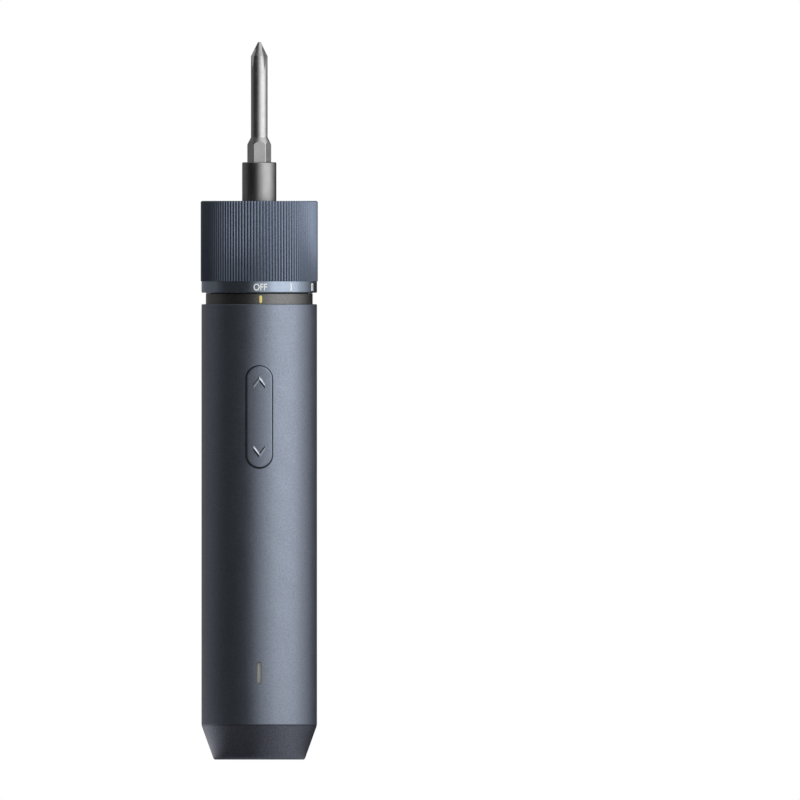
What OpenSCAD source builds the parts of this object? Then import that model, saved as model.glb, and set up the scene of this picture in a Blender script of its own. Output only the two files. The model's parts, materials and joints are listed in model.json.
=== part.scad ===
/* [Housing] */
// Wall of the body tube
body_wall = 1.6; // [1.2:0.1:1.8]
// Gap between the gear case and the body tube
case_gap = 1.1; // [0.8:0.1:4]
// Radius of the rounded edge at the top of the body tube
body_edge = 0.35; // [0.1:0.05:0.6]
// Height of the tapered tail cap below the tube
tail_h = 10.4; // [9:0.1:16]
// How far the tail cap draws in from the tube to its foot
tail_taper = 3.625; // [1.5:0.025:4.5]
// Length of the tail cap's spigot inside the tube
tail_spigot = 4; // [2.5:0.1:4.5]
// Thickness of the tail cap's floor
tail_floor = 2.2; // [1.5:0.1:3]

/* [Neck and collar] */
// Step from the body tube in to the dark neck ring
neck_step = 1.3; // [0.5:0.05:1.5]
// Height of the neck ring that shows
neck_h = 3.3; // [2.5:0.1:5]
// Height of the scale ring that shows
scale_h = 3.45; // [2.8:0.05:6]
// How far the collar's ribs stand proud of the body tube
collar_swell = 0.25; // [0:0.05:2]
// Height of the ribbed collar
collar_h = 24.4; // [24:0.1:32]
// Number of ribs round the collar
rib_count = 120; // [60:1:140]
// Depth of the grooves between the ribs
rib_depth = 0.28; // [0.15:0.01:0.4]
// Chamfer round the collar's top edge
collar_edge = 0.35; // [0.2:0.05:0.8]
// Turn of the collar from OFF to the last setting, in degrees
collar_turn = 99; // [60:1:100]
// How far the spring seat travels in that turn
seat_travel = 2.4; // [1:0.1:3]
// Turn of the yellow mark from the front, in degrees
mark_turn = 1.6; // [0:0.1:5]
// Width of the yellow mark
mark_w = 0.85; // [0.5:0.05:1.5]

/* [Rocker and status light] */
// Width of the rocker opening
rocker_slot_w = 8.3; // [7.9:0.1:9]
// Height of the rocker opening
rocker_slot_h = 31.3; // [26:0.1:34]
// Gap round the rocker
rocker_gap = 0.3; // [0.25:0.05:0.45]
// Thickness of the rocker at its middle
rocker_t = 1.9; // [1.7:0.1:2.4]
// Radius of the rocker's face across its width
rocker_face_r = 35; // [18:1:60]
// Distance from the rocker's middle to each chevron's middle
chevron_offset = 10.5; // [7:0.1:12]
// Height of each chevron
chevron_h = 2.9; // [1.5:0.1:4]
// Width of each chevron
chevron_w = 3.3; // [2:0.1:4.5]
// Width of the ridge that draws a chevron
chevron_line = 0.55; // [0.3:0.05:0.8]
// Distance from the rocker's middle to each switch
switch_offset = 7.5; // [5:0.1:9]
// Distance from the upper switch to the motor plate
switch_margin = 0.9; // [0.6:0.1:4]
// Width of the status light
light_w = 1.4; // [1:0.1:2.5]
// Height of the status light
light_h = 6.7; // [4:0.1:10]
// Height of the status light's middle above the foot
light_z = 26.3; // [25:0.1:34]

/* [Power] */
// Radius of the lithium cell
cell_r = 9.25; // [8.5:0.05:10.5]
// Length of the lithium cell, with its raised contact
cell_len = 65; // [50:0.5:70]
// Gap between the tail cap's rim and the chassis
chassis_gap = 0.6; // [0.3:0.1:4]
// Thickness of the contact strips
strip_t = 0.3; // [0.2:0.05:0.4]
// Free length between the cell's strip and the motor
wire_room = 2.3; // [2:0.1:6]
// Thickness of the circuit boards
board_t = 1.2; // [0.8:0.1:1.6]
// Width of the main circuit board
board_w = 16; // [13:0.5:16.4]
// Width of the charging socket's shell
usb_w = 8.94; // [8.9:0.01:9]
// Height of the charging socket's shell
usb_h = 3.26; // [3.2:0.01:3.3]

/* [Motor] */
// Radius of the motor can
can_r = 12.1; // [11.6:0.05:12.3]
// Width of the motor can over its two flats
can_flats = 18.4; // [17.4:0.1:20]
// Length of the motor can
can_len = 31; // [28:0.5:38]
// Wall of the motor can
can_wall = 0.8; // [0.5:0.05:0.9]
// Radius of the motor shaft
shaft_r = 1; // [0.8:0.05:1.15]
// Gap between the rotor and the can's flat walls
rotor_gap = 0.5; // [0.3:0.05:1]
// Height of the magnets above the can's open end
magnet_lift = 6; // [5:0.1:8]
// Length of the magnets
magnet_h = 20; // [16:0.5:21]
// Height of the rotor's core above the can's open end
core_lift = 8; // [7.6:0.1:10]
// Length of the rotor's core
core_h = 16; // [12:0.5:17]

/* [Gearbox] */
// Gear module
gear_m = 0.4; // [0.36:0.01:0.45]
// Width of the gears' teeth
face_w = 5.2; // [4:0.1:8]
// Thickness of the carriers' plates
carrier_t = 1.8; // [1.2:0.1:3]
// Width of the carriers' plates outside the planets' pins
pin_margin = 1.8; // [0.8:0.1:1.9]
// Radius of the planets' pins
pin_r = 1; // [0.7:0.05:1.3]
// Thickness of the motor plate
plate_t = 1.3; // [1.2:0.1:2.5]
// Wall of the ring gears outside their teeth
ring_wall = 1.03; // [0.8:0.01:1.6]
// Wall of the gear case
case_wall = 1.3; // [1.1:0.05:1.4]
// Thickness of the gear case's front wall
front_wall = 2.4; // [2:0.1:2.8]

/* [Clutch] */
// Radius of the clutch balls
ball_r = 1.75; // [1.6:0.05:1.8]
// Number of clutch balls
ball_count = 6; // [3:1:6]
// Width of metal between the spindle's lock and the balls
ball_margin = 0.95; // [0.5:0.05:1.5]
// Width between the balls and the gear case's bore
ball_rim = 0.25; // [0.1:0.05:0.6]
// Thickness of the clutch plate
clutch_plate_t = 1.16; // [0.8:0.02:1.5]
// Radius of the clutch spring's wire
wire_r = 0.8; // [0.5:0.05:0.9]
// How far the clutch spring's coils lie inside the balls' circle
coil_inset = 0.3; // [0:0.05:0.6]
// Number of turns of the clutch spring
coil_turns = 5; // [3:1:5]
// Length of the clutch spring at the OFF setting
spring_len = 14.7; // [13.5:0.1:15]
// Thickness of the spring seat
seat_t = 3; // [2.8:0.1:3.5]
// Thickness of the clutch housing's front wall
housing_front = 3; // [2:0.1:4]

/* [Spindle and bit] */
// Radius of the spindle's shaft
spindle_r = 4; // [3.6:0.05:4.2]
// Outside radius of the chuck
chuck_r = 5.2; // [5:0.05:5.4]
// Step from the chuck in to its journal
chuck_step = 0.2; // [0.1:0.05:0.4]
// Length of the chuck in front of the collar
chuck_out = 11.7; // [6:0.1:20]
// Depth of the hexagon socket in the chuck
socket_depth = 13.5; // [10:0.1:13.5]
// Width of the bit's hexagon over its flats
hex_af = 6.35; // [6.2:0.05:6.4]
// Free play of the bit's hexagon in the socket, on each side
hex_play = 0.05; // [0.03:0.01:0.1]
// Radius of the magnet behind the bit
magnet_r = 2.4; // [1.5:0.1:2.8]
// Length of the magnet
magnet_len = 4; // [2:0.1:4.2]
// Length of the bit
bit_len = 49.96; // [40:0.01:90]
// Length of the bit's hexagon in front of the chuck
bit_hex_out = 5.4; // [3:0.1:12]
// Radius of the bit's round shaft
bit_r = 2.52; // [2:0.01:3]
// Length of the tapered cross point
tip_len = 4.26; // [3:0.01:6]
// Length of the flutes from the point
flute_len = 9.1; // [5:0.1:14]
// Turn of the bit about its axis, in degrees
bit_turn = 2; // [0:1:59]

/* [Fits] */
// Radial clearance of turning and sliding fits
run_fit = 0.05; // [0.03:0.01:0.08]
// Gap between the faces of pieces that pass each other
face_gap = 0.2; // [0.15:0.05:0.25]
// Gap between fixed pieces that are dropped into each other
fixed_gap = 0.1; // [0.05:0.01:0.1]
// Gap left round pieces that are pressed or glued in place
press_gap = 0.02; // [0.01:0.01:0.04]

/* [Hidden] */
$fn = 96;

// Cutters run this far past the face they cut
cut = 1;
// Solids that are one piece reach this far into each other
weld = 0.2;

// Tooth counts, pitch radii and tooth heights
sun_n = 12;
planet_n = 24;
ring_n = sun_n + 2 * planet_n;
pressure = 20;
addendum = 0.8 * gear_m;
dedendum = 1.05 * gear_m;
tooth_slack = 0.028;
sun_pitch = sun_n * gear_m / 2;
planet_pitch = planet_n * gear_m / 2;
ring_pitch = ring_n * gear_m / 2;
orbit_r = sun_pitch + planet_pitch;
planet_angles = [0, 120, 240];
carrier_r = orbit_r + pin_r + pin_margin;

// The spindle's cam, the rollers on its flats and the ring that they lock in
cam_r = 6.6;
cam_flat = 5.25;
roller_r = 1;
lock_play = 0.07;
lock_in = cam_flat + 2 * roller_r + 2 * lock_play;
lock_wall = 1.41;
lock_r = lock_in + lock_wall;

// Radii of the gear case and of what turns or slides in it and on it
ball_ring_r = lock_r + ball_margin + ball_r;
coil_r = ball_ring_r - coil_inset;
case_in = max(ring_pitch + dedendum + ring_wall + run_fit, ball_ring_r + ball_r + ball_rim);
case_r = case_in + case_wall;
ring_r = case_in - run_fit;
sleeve_r = case_r;
sleeve_in = case_in + 0.1;
collar_bore = sleeve_r + run_fit * 2;
cam_ring_t = 1.1;
cam_ring_r = collar_bore + cam_ring_t;

// The body tube clears the gear case, and the stack of cell, board, pivot and rocker
cell_side = max(cell_r, can_flats / 2);
board_room = 0.75;
pivot_gap = 2;
pivot_depth = 2.4;
rocker_stack = cell_side + board_room + board_t + pivot_gap + pivot_depth + rocker_t;
body_r = max(rocker_stack, case_r + case_gap + body_wall);
tube_in = body_r - body_wall;
spigot_r = tube_in - fixed_gap;
chassis_r = tube_in - 0.2;
chassis_wall = 1.3;
chassis_in = chassis_r - chassis_wall;
tail_foot_r = body_r - tail_taper;
neck_r = body_r - neck_step;
scale_r = body_r;
collar_r = body_r + collar_swell;
nose_rim = 2.25;
nose_r = collar_r - nose_rim;
recess_r = nose_r + face_gap;

// Heights of the power section, from the foot up
chassis_z = tail_h + tail_spigot + chassis_gap;
cell_z = chassis_z + 0.8;
cell_top = cell_z + cell_len;
button_len = 1;
strip_top = cell_top + strip_t;
bell_back = strip_top + wire_room;
bell_out = 0.8;
can_z = bell_back + bell_out;
can_top = can_z + can_len;
plate_top = can_top + plate_t;

// Heights of the two gear stages
planet_lift = 0.9;
axial_gap = 0.3;
stage_gap = 0.5;
rear_z = plate_top + planet_lift;
rear_top = rear_z + face_w;
rear_plate_z = rear_top + axial_gap;
rear_plate_top = rear_plate_z + carrier_t;
front_z = rear_plate_top + stage_gap;
front_top = front_z + face_w;
front_plate_z = front_top + axial_gap;
front_plate_t = carrier_t + 0.5;
front_plate_top = front_plate_z + front_plate_t;
rear_ring_z = plate_top + fixed_gap;
rear_ring_top = rear_plate_z + 0.7;
front_ring_z = rear_ring_top + axial_gap;

// Heights of the clutch, the neck and the collar
flange_z = front_plate_top + face_gap;
flange_t = 1;
flange_top = flange_z + flange_t;
bump_h = 0.5;
wall_z = flange_top + bump_h + fixed_gap;
wall_top = wall_z + front_wall;
lock_roof = 0.6;
lock_top = wall_top - lock_roof;
contact = 0.02;
ball_z = flange_top + contact + ball_r;
clutch_plate_z = ball_z + ball_r + contact;
spring_z = clutch_plate_z + clutch_plate_t;
seat_z = spring_z + spring_len;
seat_top = seat_z + seat_t;
neck_rise = 0.8;
body_top = wall_top + neck_rise;
neck_top = body_top + neck_h;
collar_gap = 0.15;
scale_z = neck_top + collar_gap;
scale_top = scale_z + scale_h;
collar_top = scale_top + collar_h;

// Heights of the nose
nose_inset = 0.3;
nose_t = 2.1;
nose_top = collar_top - nose_inset;
nose_z = nose_top - nose_t;
lamp_board_t = 0.9;
lamp_board_z = nose_z - lamp_board_t;
housing_top = lamp_board_z;
shoulder_z = nose_z - face_gap;
bush_drop = 2.5;
front_bush_z = housing_top - housing_front - bush_drop;
front_bush_top = housing_top - 0.5;

// Heights of the spindle, the chuck and the bit
chuck_top = collar_top + chuck_out;
socket_z = chuck_top - socket_depth;
magnet_z = socket_z - magnet_len;
chuck_floor = 0.5;
stub_len = 4.7;
chuck_z = magnet_z - chuck_floor - stub_len;
stub_r = 3;
bush_seat = 0.2;
rear_bush_z = lock_top + bush_seat;
hub_len = 4;
hub_top = wall_top + hub_len;
hub_r = 8;
clip_z = hub_top + face_gap;
clip_t = 0.6;
clip_r = spindle_r + 1.6;
groove_r = spindle_r - 0.5;
bit_z = socket_z + contact;
bit_top = bit_z + bit_len;
corner_round = 0.166;
bit_corner_r = hex_af / 2 / cos(30) - corner_round;

// Rocker's pivot, main board and what stands on it
rocker_back = body_r - rocker_t;
pivot_y = pivot_depth - rocker_back;
board_face = pivot_y + pivot_gap;
board_back = board_face + board_t;
board_z = cell_z + 3.2;
board_top = can_top - 0.4;
switch_side = 6;
rocker_z = can_top - switch_margin - switch_side / 2 - switch_offset;
rocker_w = rocker_slot_w - 2 * rocker_gap;
rocker_h = rocker_slot_h - 2 * rocker_gap;
rocker_sink = 0.05;
trunnion_r = 0.6;
lug_w = 1.3;
lug_x = 2.5;
ear_x = lug_x + lug_w + 0.4;
ear_w = 1.6;
plunger_out = 1;
switch_h = pivot_gap + pivot_depth - plunger_out;
plunger_r = 1.7;
plunger_gap = 0.3;
lens_gap = 0.05;
lens_sink = 0.12;

// Chassis ribs and screws
rib_t = 1.6;
cell_ribs = [cell_z + 0.7, cell_z + cell_len / 2, cell_top - 3.2];
can_ribs = [can_z + 2.8, can_top - 6];
chassis_top = can_top - fixed_gap;
low_screw = 14;
high_screw = 17;
screw_zs = [cell_z + low_screw, cell_top - high_screw, can_z + can_len / 2];
screw_r = 1;
screw_head_r = 1.7;
boss_r = 2.35;
boss_y = cell_side + boss_r + 0.25;
board_window = board_w / 2 + 0.4;

// Lugs and keys stand at these angles, as many as the collar's turn leaves room for, and
// the lamp's wires at those
lug_width = 3;
lug_half = asin(lug_width / 2 / sleeve_in);
lug_count = floor(360 / (collar_turn + 2 * lug_half + 5));
lug_angles = [for (i = [0 : lug_count - 1]) 90 + i * 360 / lug_count];
wire_angles = [245, 295];
lamp_wire_r = 0.4;
wire_groove = 0.9;
wire_line = case_r - 0.45;
lug_height = 2.2;
lug_reach = cam_ring_r - 0.4;
lug_side_gap = 0.1;
lug_z = seat_z + (seat_t - lug_height) / 2;

// A tube with square ends
module ring(r_out, r_in, z0, z1) {
    translate([0, 0, z0]) difference() {
        cylinder(r = r_out, h = z1 - z0);
        translate([0, 0, -cut]) cylinder(r = r_in, h = z1 - z0 + 2 * cut);
    }
}

// A plain disc or shaft
module rod(r, z0, z1) {
    translate([0, 0, z0]) cylinder(r = r, h = z1 - z0);
}

// A block given by its lowest and highest corners
module block(low, high) {
    translate(low) cube(high - low);
}

// An upright pill that runs through y, from y0 towards the front to y1
module pill(w, h, z, y0, y1) {
    translate([0, y0, z]) rotate([90, 0, 0]) linear_extrude(y0 - y1) {
        square([w, h - w], center = true);
        translate([0, (h - w) / 2]) circle(d = w);
        translate([0, -(h - w) / 2]) circle(d = w);
    }
}

// Sideways cylinder along x
module cross_rod(r, x0, x1, y, z) {
    translate([x0, y, z]) rotate([0, 90, 0]) cylinder(r = r, h = x1 - x0, $fn = 32);
}

// Involute angle, half tooth angle and points of one tooth
function involute(a) = tan(a) * 180 / PI - a;
function half_angle(n, r, r_base, slack) =
    90 / n - slack * 180 / PI / (n * gear_m / 2) + involute(pressure)
    - (r > r_base ? involute(acos(r_base / r)) : 0);
function tooth_side(n, r_root, r_tip, slack) =
    let (r_base = n * gear_m / 2 * cos(pressure), r_low = max(r_root, r_base))
    let (r_mid = (r_low + r_tip) / 2)
    concat(
        r_root < r_base ? [[r_root, half_angle(n, r_base, r_base, slack)]] : [],
        [for (r = [r_low, r_mid, r_tip]) [r, half_angle(n, r, r_base, slack)]]
    );
function polar(r, a) = [r * cos(a), r * sin(a)];
function tooth(n, side, a) = concat(
    [for (p = side) polar(p[0], a - p[1])],
    [for (i = [len(side) - 1 : -1 : 0]) polar(side[i][0], a + side[i][1])]
);
function gear_outline(n, r_root, r_tip, slack) =
    let (side = tooth_side(n, r_root, r_tip, slack))
    [for (i = [0 : n - 1]) each tooth(n, side, i * 360 / n)];

module spur_gear(n, z0, z1) {
    r_pitch = n * gear_m / 2;
    translate([0, 0, z0]) linear_extrude(z1 - z0)
        polygon(gear_outline(n, r_pitch - dedendum, r_pitch + addendum, tooth_slack));
}

// The space inside a ring gear, with a tooth on the x axis
module ring_space(z0, z1) {
    translate([0, 0, z0]) rotate(180 / ring_n) linear_extrude(z1 - z0)
        polygon(gear_outline(ring_n, ring_pitch - addendum, ring_pitch + dedendum, -tooth_slack));
}

// Grooves for the lamp's wires down the outside of the gear case and its neighbours
module wire_grooves(z0, z1) {
    for (a = wire_angles)
        rotate(a) block(
            [case_r - wire_groove, -wire_groove / 2, z0 - cut],
            [case_r + cut, wire_groove / 2, z1 + cut]
        );
}

// Tail cap, charging socket and its board
usb_play = 0.2;
usb_z = 0.9;
usb_wall = 0.3;
usb_board_z = tail_h;
cap_in = spigot_r - 2.3;
cap_ledge = cap_in - 1.3;
cap_wall = 3.475;
cap_low_in = tail_foot_r - cap_wall;
cap_step = 6;
foot_edge = 0.4;
usb_board_top = usb_board_z + board_t;

module tail_cap() {
    color("#262a31") difference() {
        union() {
            rotate_extrude() polygon([
                [0, 0], [tail_foot_r - foot_edge, 0], [tail_foot_r, foot_edge * 0.8],
                [body_r, tail_h], [0, tail_h]
            ]);
            rod(spigot_r, tail_h - weld, tail_h + tail_spigot);
        }
        rod(cap_in, usb_board_z, tail_h + tail_spigot + cut);
        rod(cap_ledge, cap_step, usb_board_z + cut);
        rod(cap_low_in, tail_floor, cap_step + cut);
        usb_prism(usb_w + 2 * usb_play, usb_h + 2 * usb_play, -cut, tail_floor + cut);
    }
}

// A flat pill lying across, drawn upwards
module usb_prism(w, h, z0, z1) {
    translate([0, 0, z0]) linear_extrude(z1 - z0) {
        square([w - h, h], center = true);
        translate([(w - h) / 2, 0]) circle(d = h, $fn = 48);
        translate([-(w - h) / 2, 0]) circle(d = h, $fn = 48);
    }
}

module usb_socket() {
    tongue_w = 6.7;
    tongue_t = 0.7;
    tongue_drop = 0.8;
    back_t = 3;
    color("#b9bcc0") difference() {
        usb_prism(usb_w, usb_h, usb_z, usb_board_z);
        usb_prism(usb_w - 2 * usb_wall, usb_h - 2 * usb_wall, usb_z - cut, usb_board_z - back_t);
    }
    color("#17181a") block(
        [-tongue_w / 2, -tongue_t / 2, usb_z + tongue_drop],
        [tongue_w / 2, tongue_t / 2, usb_board_z - back_t + weld]
    );
}

module usb_board() {
    chip = 3;
    color("#1f4a35") union() {
        rod(cap_in - fixed_gap, usb_board_z, usb_board_top);
        block([-chip / 2, 5, usb_board_top - weld], [chip / 2, 5 + chip, usb_board_top + 0.9]);
    }
}

// Wires: two from the charging board, two from the motor and two up to the lamp
lead_r = 0.5;
lead_z = bell_back - 1;
lead_x = 6;
terminal_w = 2.4;
lamp_lead_z = can_top - 3.2;

module wiring() {
    charge_x = 3;
    color("#b3372c") {
        for (x = [-charge_x, charge_x])
            translate([x, (board_back + board_face) / 2, 0]) rod(lead_r, usb_board_top, board_z);
        for (x = [-lead_x, lead_x])
            translate([x, board_back, lead_z]) rotate([-90, 0, 0])
                cylinder(r = lead_r, h = -board_back - terminal_w / 2, $fn = 24);
        for (a = wire_angles) lamp_wire(polar(wire_line, a));
    }
}

module lamp_wire(p) {
    color("#b3372c") {
        translate([p[0], p[1], 0]) rod(lamp_wire_r, lamp_lead_z, lamp_board_z, $fn = 24);
        translate([p[0], p[1], lamp_lead_z]) sphere(r = lamp_wire_r, $fn = 24);
        translate([p[0], board_face, lamp_lead_z]) rotate([90, 0, 0])
            cylinder(r = lamp_wire_r, h = board_face - p[1], $fn = 24);
    }
}

// Body tube, status lens and rocker
module body_tube() {
    e = body_edge;
    color("#6f7889") difference() {
        rotate_extrude() polygon(concat(
            [[tube_in, tail_h], [body_r, tail_h]],
            [for (a = [0 : 15 : 90]) [body_r - e + e * cos(a), body_top - e + e * sin(a)]],
            [[tube_in, body_top]]
        ));
        pill(rocker_slot_w, rocker_slot_h, rocker_z, 0, -body_r - cut);
        pill(light_w, light_h, light_z, 0, -body_r - cut);
    }
}

module status_lens() {
    flange_w = 2;
    flange_d = 1.3;
    flange_y = sqrt(pow(tube_in, 2) - pow(light_w / 2 + flange_w / 2, 2)) - lens_gap;
    color("#d9dccf") intersection() {
        union() {
            pill(light_w - 2 * lens_gap, light_h - 2 * lens_gap, light_z, -flange_y, -body_r);
            pill(light_w + flange_w, light_h + flange_w, light_z, flange_d - flange_y, -flange_y);
        }
        rod(body_r - lens_sink, light_z - light_h, light_z + light_h);
    }
}

module chevron(up) {
    d = up ? 1 : -1;
    slope = atan2(chevron_h - chevron_line, chevron_w / 2);
    arm = chevron_w / 2 / cos(slope);
    for (s = [-1, 1])
        translate([0, 0, rocker_z + d * (chevron_offset + chevron_h / 2 - chevron_line / 2)])
            rotate([0, s * d * slope, 0]) block(
                [s > 0 ? 0 : -arm, -body_r - cut, -chevron_line / 2],
                [s > 0 ? arm : 0, -rocker_back, chevron_line / 2]
            );
}

module rocker_button() {
    ridge = 0.16;
    face_y = rocker_face_r - body_r + rocker_sink;
    low = rocker_z - rocker_h;
    high = rocker_z + rocker_h;
    color("#6b7485") union() {
        intersection() {
            pill(rocker_w, rocker_h, rocker_z, -rocker_back, -body_r - cut);
            translate([0, face_y, 0]) rod(rocker_face_r, low, high);
        }
        intersection() {
            union() {
                chevron(true);
                chevron(false);
            }
            translate([0, face_y, 0]) ring(rocker_face_r + ridge, rocker_face_r - weld, low, high);
        }
        for (s = [-1, 1]) {
            block(
                [s > 0 ? lug_x : -lug_x - lug_w, -rocker_back - weld, rocker_z - 1.2],
                [s > 0 ? lug_x + lug_w : -lug_x, pivot_y + trunnion_r, rocker_z + 1.2]
            );
            cross_rod(
                trunnion_r,
                s > 0 ? lug_x + weld : -ear_x - ear_w + 0.2,
                s > 0 ? ear_x + ear_w - 0.2 : -lug_x - weld,
                pivot_y, rocker_z
            );
        }
    }
}

// Circuit board with the parts soldered to it, and the two switches
module main_board() {
    chip_sides = [[5, 1], [4, 1.2], [3, 1], [3, 1], [3, 1], [3, 1]];
    chip_x = [0, -3.5, 4, 4, -4, -4];
    chip_z = [20, 12, 28, 33, 28, 33];
    led = 1.2;
    led_h = 0.6;
    color("#1f4a35") union() {
        block([-board_w / 2, board_face, board_z], [board_w / 2, board_back, board_top]);
        for (i = [0 : len(chip_x) - 1]) {
            side = chip_sides[i][0];
            x = chip_x[i] * board_w / 16;
            translate([x, board_face - chip_sides[i][1] / 2 + weld / 2, light_z + chip_z[i]])
                cube([side, chip_sides[i][1] + weld, side], center = true);
        }
        for (z = [-light_h / 4, light_h / 4])
            translate([0, board_face - led_h / 2 + weld / 2, light_z + z])
                cube([led, led_h + weld, led], center = true);
    }
}

module tact_switches() {
    reach = -rocker_back + plunger_gap;
    color("#3a3d42") for (z = [rocker_z - switch_offset, rocker_z + switch_offset]) {
        block(
            [-switch_side / 2, board_face - switch_h, z - switch_side / 2],
            [switch_side / 2, board_face, z + switch_side / 2]
        );
        translate([0, board_face - switch_h + weld, z]) rotate([90, 0, 0])
            cylinder(r = plunger_r, h = board_face - switch_h + weld - reach);
    }
}

// Cell with its raised contact, and the strips welded to its ends
module battery_cell() {
    color("#2f6fa8") union() {
        rod(cell_r, cell_z, cell_top - button_len);
        rod(2.9, cell_top - button_len - weld, cell_top);
    }
}

module battery_strips() {
    strip_w = 5;
    leg = 4.5;
    color("#c9cccf") {
        block([-strip_w / 2, board_back, cell_z - strip_t], [strip_w / 2, 5, cell_z]);
        block(
            [-strip_w / 2, board_back, cell_z - strip_t],
            [strip_w / 2, board_back + strip_t, board_z + leg]
        );
        block([-strip_w / 2, board_back, cell_top], [strip_w / 2, 2.5, strip_top]);
        block(
            [-strip_w / 2, board_back, strip_top - leg],
            [strip_w / 2, board_back + strip_t, strip_top]
        );
    }
}

// Chassis: two half shells with ribs round the cell and the motor, and ears for the rocker
module can_profile(grow) {
    intersection() {
        circle(r = can_r + grow);
        square([2 * can_r + 2 * grow + 2, can_flats + 2 * grow], center = true);
    }
}

module chassis_rib(z) {
    translate([0, 0, z]) linear_extrude(rib_t) difference() {
        circle(r = chassis_in + weld);
        children();
        translate([-body_r, -body_r]) square([2 * body_r, body_r + board_back + fixed_gap / 2]);
        translate([-3.2, -body_r]) square([6.4, body_r]);
    }
}

module trunnion_ears() {
    intersection() {
        for (s = [-1, 1]) difference() {
            block(
                [s > 0 ? ear_x : -chassis_r, -chassis_r, rocker_z - 2],
                [s > 0 ? chassis_r : -ear_x, board_face - fixed_gap, rocker_z + 2]
            );
            cross_rod(trunnion_r + run_fit, s * ear_x - cut, s * ear_x + cut, pivot_y, rocker_z);
            cross_rod(
                trunnion_r + run_fit,
                s > 0 ? ear_x : -ear_x - ear_w,
                s > 0 ? ear_x + ear_w : -ear_x,
                pivot_y, rocker_z
            );
        }
        ring(chassis_r, 2, rocker_z - 3, rocker_z + 3);
        block([-chassis_r, -pivot_front(), rocker_z - 3], [chassis_r, 0, rocker_z + 3]);
    }
}

function pivot_front() = -pivot_y + trunnion_r + run_fit + 0.6;

module chassis_whole() {
    difference() {
        union() {
            difference() {
                ring(chassis_r, chassis_in, chassis_z, chassis_top);
                block(
                    [-board_window, -body_r, chassis_z - cut],
                    [board_window, 0, chassis_top + cut]
                );
            }
            for (z = cell_ribs) chassis_rib(z) circle(r = cell_r + fixed_gap);
            for (z = can_ribs) chassis_rib(z) can_profile(fixed_gap);
            intersection() {
                for (z = screw_zs) cross_rod(boss_r, -chassis_r, chassis_r, boss_y, z);
                rod(chassis_in + weld, chassis_z, chassis_top);
            }
            trunnion_ears();
        }
        for (z = screw_zs) {
            cross_rod(screw_r, -screw_deep, cut, boss_y, z);
            cross_rod(screw_r + fixed_gap, 0, chassis_r, boss_y, z);
            cross_rod(screw_head_r + fixed_gap, screw_seat, body_r, boss_y, z);
        }
    }
}

screw_deep = 5;
screw_seat = 4.5;

module half_space(side) {
    block(
        [side > 0 ? 0 : -body_r, -body_r, chassis_z - cut],
        [side > 0 ? body_r : 0, body_r, chassis_top + cut]
    );
}

module chassis_left() {
    color("#3b4048") intersection() {
        chassis_whole();
        half_space(-1);
    }
}

module chassis_right() {
    color("#434850") intersection() {
        chassis_whole();
        half_space(1);
    }
}

module chassis_screws() {
    head_h = 1.4;
    color("#9a9da1") for (z = screw_zs) {
        cross_rod(screw_r, 0.2 - screw_deep, screw_seat + weld, boss_y, z);
        difference() {
            cross_rod(screw_head_r, screw_seat, screw_seat + head_h, boss_y, z);
            for (a = [0, 90])
                translate([screw_seat + head_h, boss_y, z]) rotate([a, 0, 0])
                    cube([1.2, 0.45, 1.9], center = true);
        }
    }
}

// Motor: can, magnets, end bell, brushes and bushes stand still
bush_r = 2.6;
can_boss_r = 3;
bell_t = 2.6;
bell_top = bell_back + bell_t;
can_in = can_r - can_wall;
magnet_gap = 0.05;

module can_extrude(grow, z0, z1) {
    translate([0, 0, z0]) linear_extrude(z1 - z0) can_profile(grow);
}

module motor_can() {
    color("#a5a9ae") difference() {
        union() {
            can_extrude(0, can_z, can_top);
            rod(can_boss_r, can_top - weld, plate_top - fixed_gap);
        }
        can_extrude(-can_wall, can_z - cut, can_top - can_wall);
        rod(bush_r, can_top - 2 * can_wall, plate_top - fixed_gap - 0.2);
        rod(shaft_r + 0.4, can_top, plate_top + cut);
        for (x = [-motor_screw_x, motor_screw_x]) translate([x, 0, 0])
            rod(motor_screw_r, can_top - 2 * can_wall, can_top + cut);
    }
}

module motor_magnets() {
    spread = 37;
    magnet_in = core_r + 0.4;
    color("#4a4c50") for (a = [0, 180])
        rotate(a - spread) translate([0, 0, can_z + magnet_lift]) rotate_extrude(angle = 2 * spread)
            translate([magnet_in, 0]) square([can_in - magnet_gap - magnet_in, magnet_h]);
}

module motor_end_bell() {
    color("#e4e1d6") difference() {
        union() {
            can_extrude(-can_wall - magnet_gap, can_z, bell_top);
            can_extrude(-can_wall, bell_back, can_z);
        }
        rod(bush_r, bell_back - cut, bell_top + cut);
        for (s = [-1, 1])
            translate([s * lead_x, 0, (bell_back + bell_top) / 2])
                cube([0.6, terminal_w + 2 * fixed_gap, bell_t + 2 * cut], center = true);
    }
}

module motor_brushes() {
    brush_in = commutator_r + 0.05;
    color("#b87333") for (a = [0, 180]) rotate(a) {
        block(
            [lead_x - 0.2, -terminal_w / 2, bell_back - 1.6],
            [lead_x + 0.2, terminal_w / 2, bell_top + 2.6]
        );
        block([brush_in, -1, bell_top + 0.6], [lead_x, 1, bell_top + 2.6]);
    }
}

module motor_bushes() {
    color("#b08d57") {
        ring(bush_r, shaft_r + run_fit, bell_back, bell_top);
        ring(bush_r, shaft_r + run_fit, can_top - can_wall, plate_top - fixed_gap - 0.2);
    }
}

// Motor: core, winding, commutator, shaft and pinion turn together
commutator_r = 2.6;
core_r = can_flats / 2 - can_wall - rotor_gap;
core_z = can_z + core_lift;
core_top = core_z + core_h;
hub_core_r = 3;
arm_w = 3.3;
shoe_in = core_r - 1;
pole_angles = [0, 120, 240];

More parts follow.
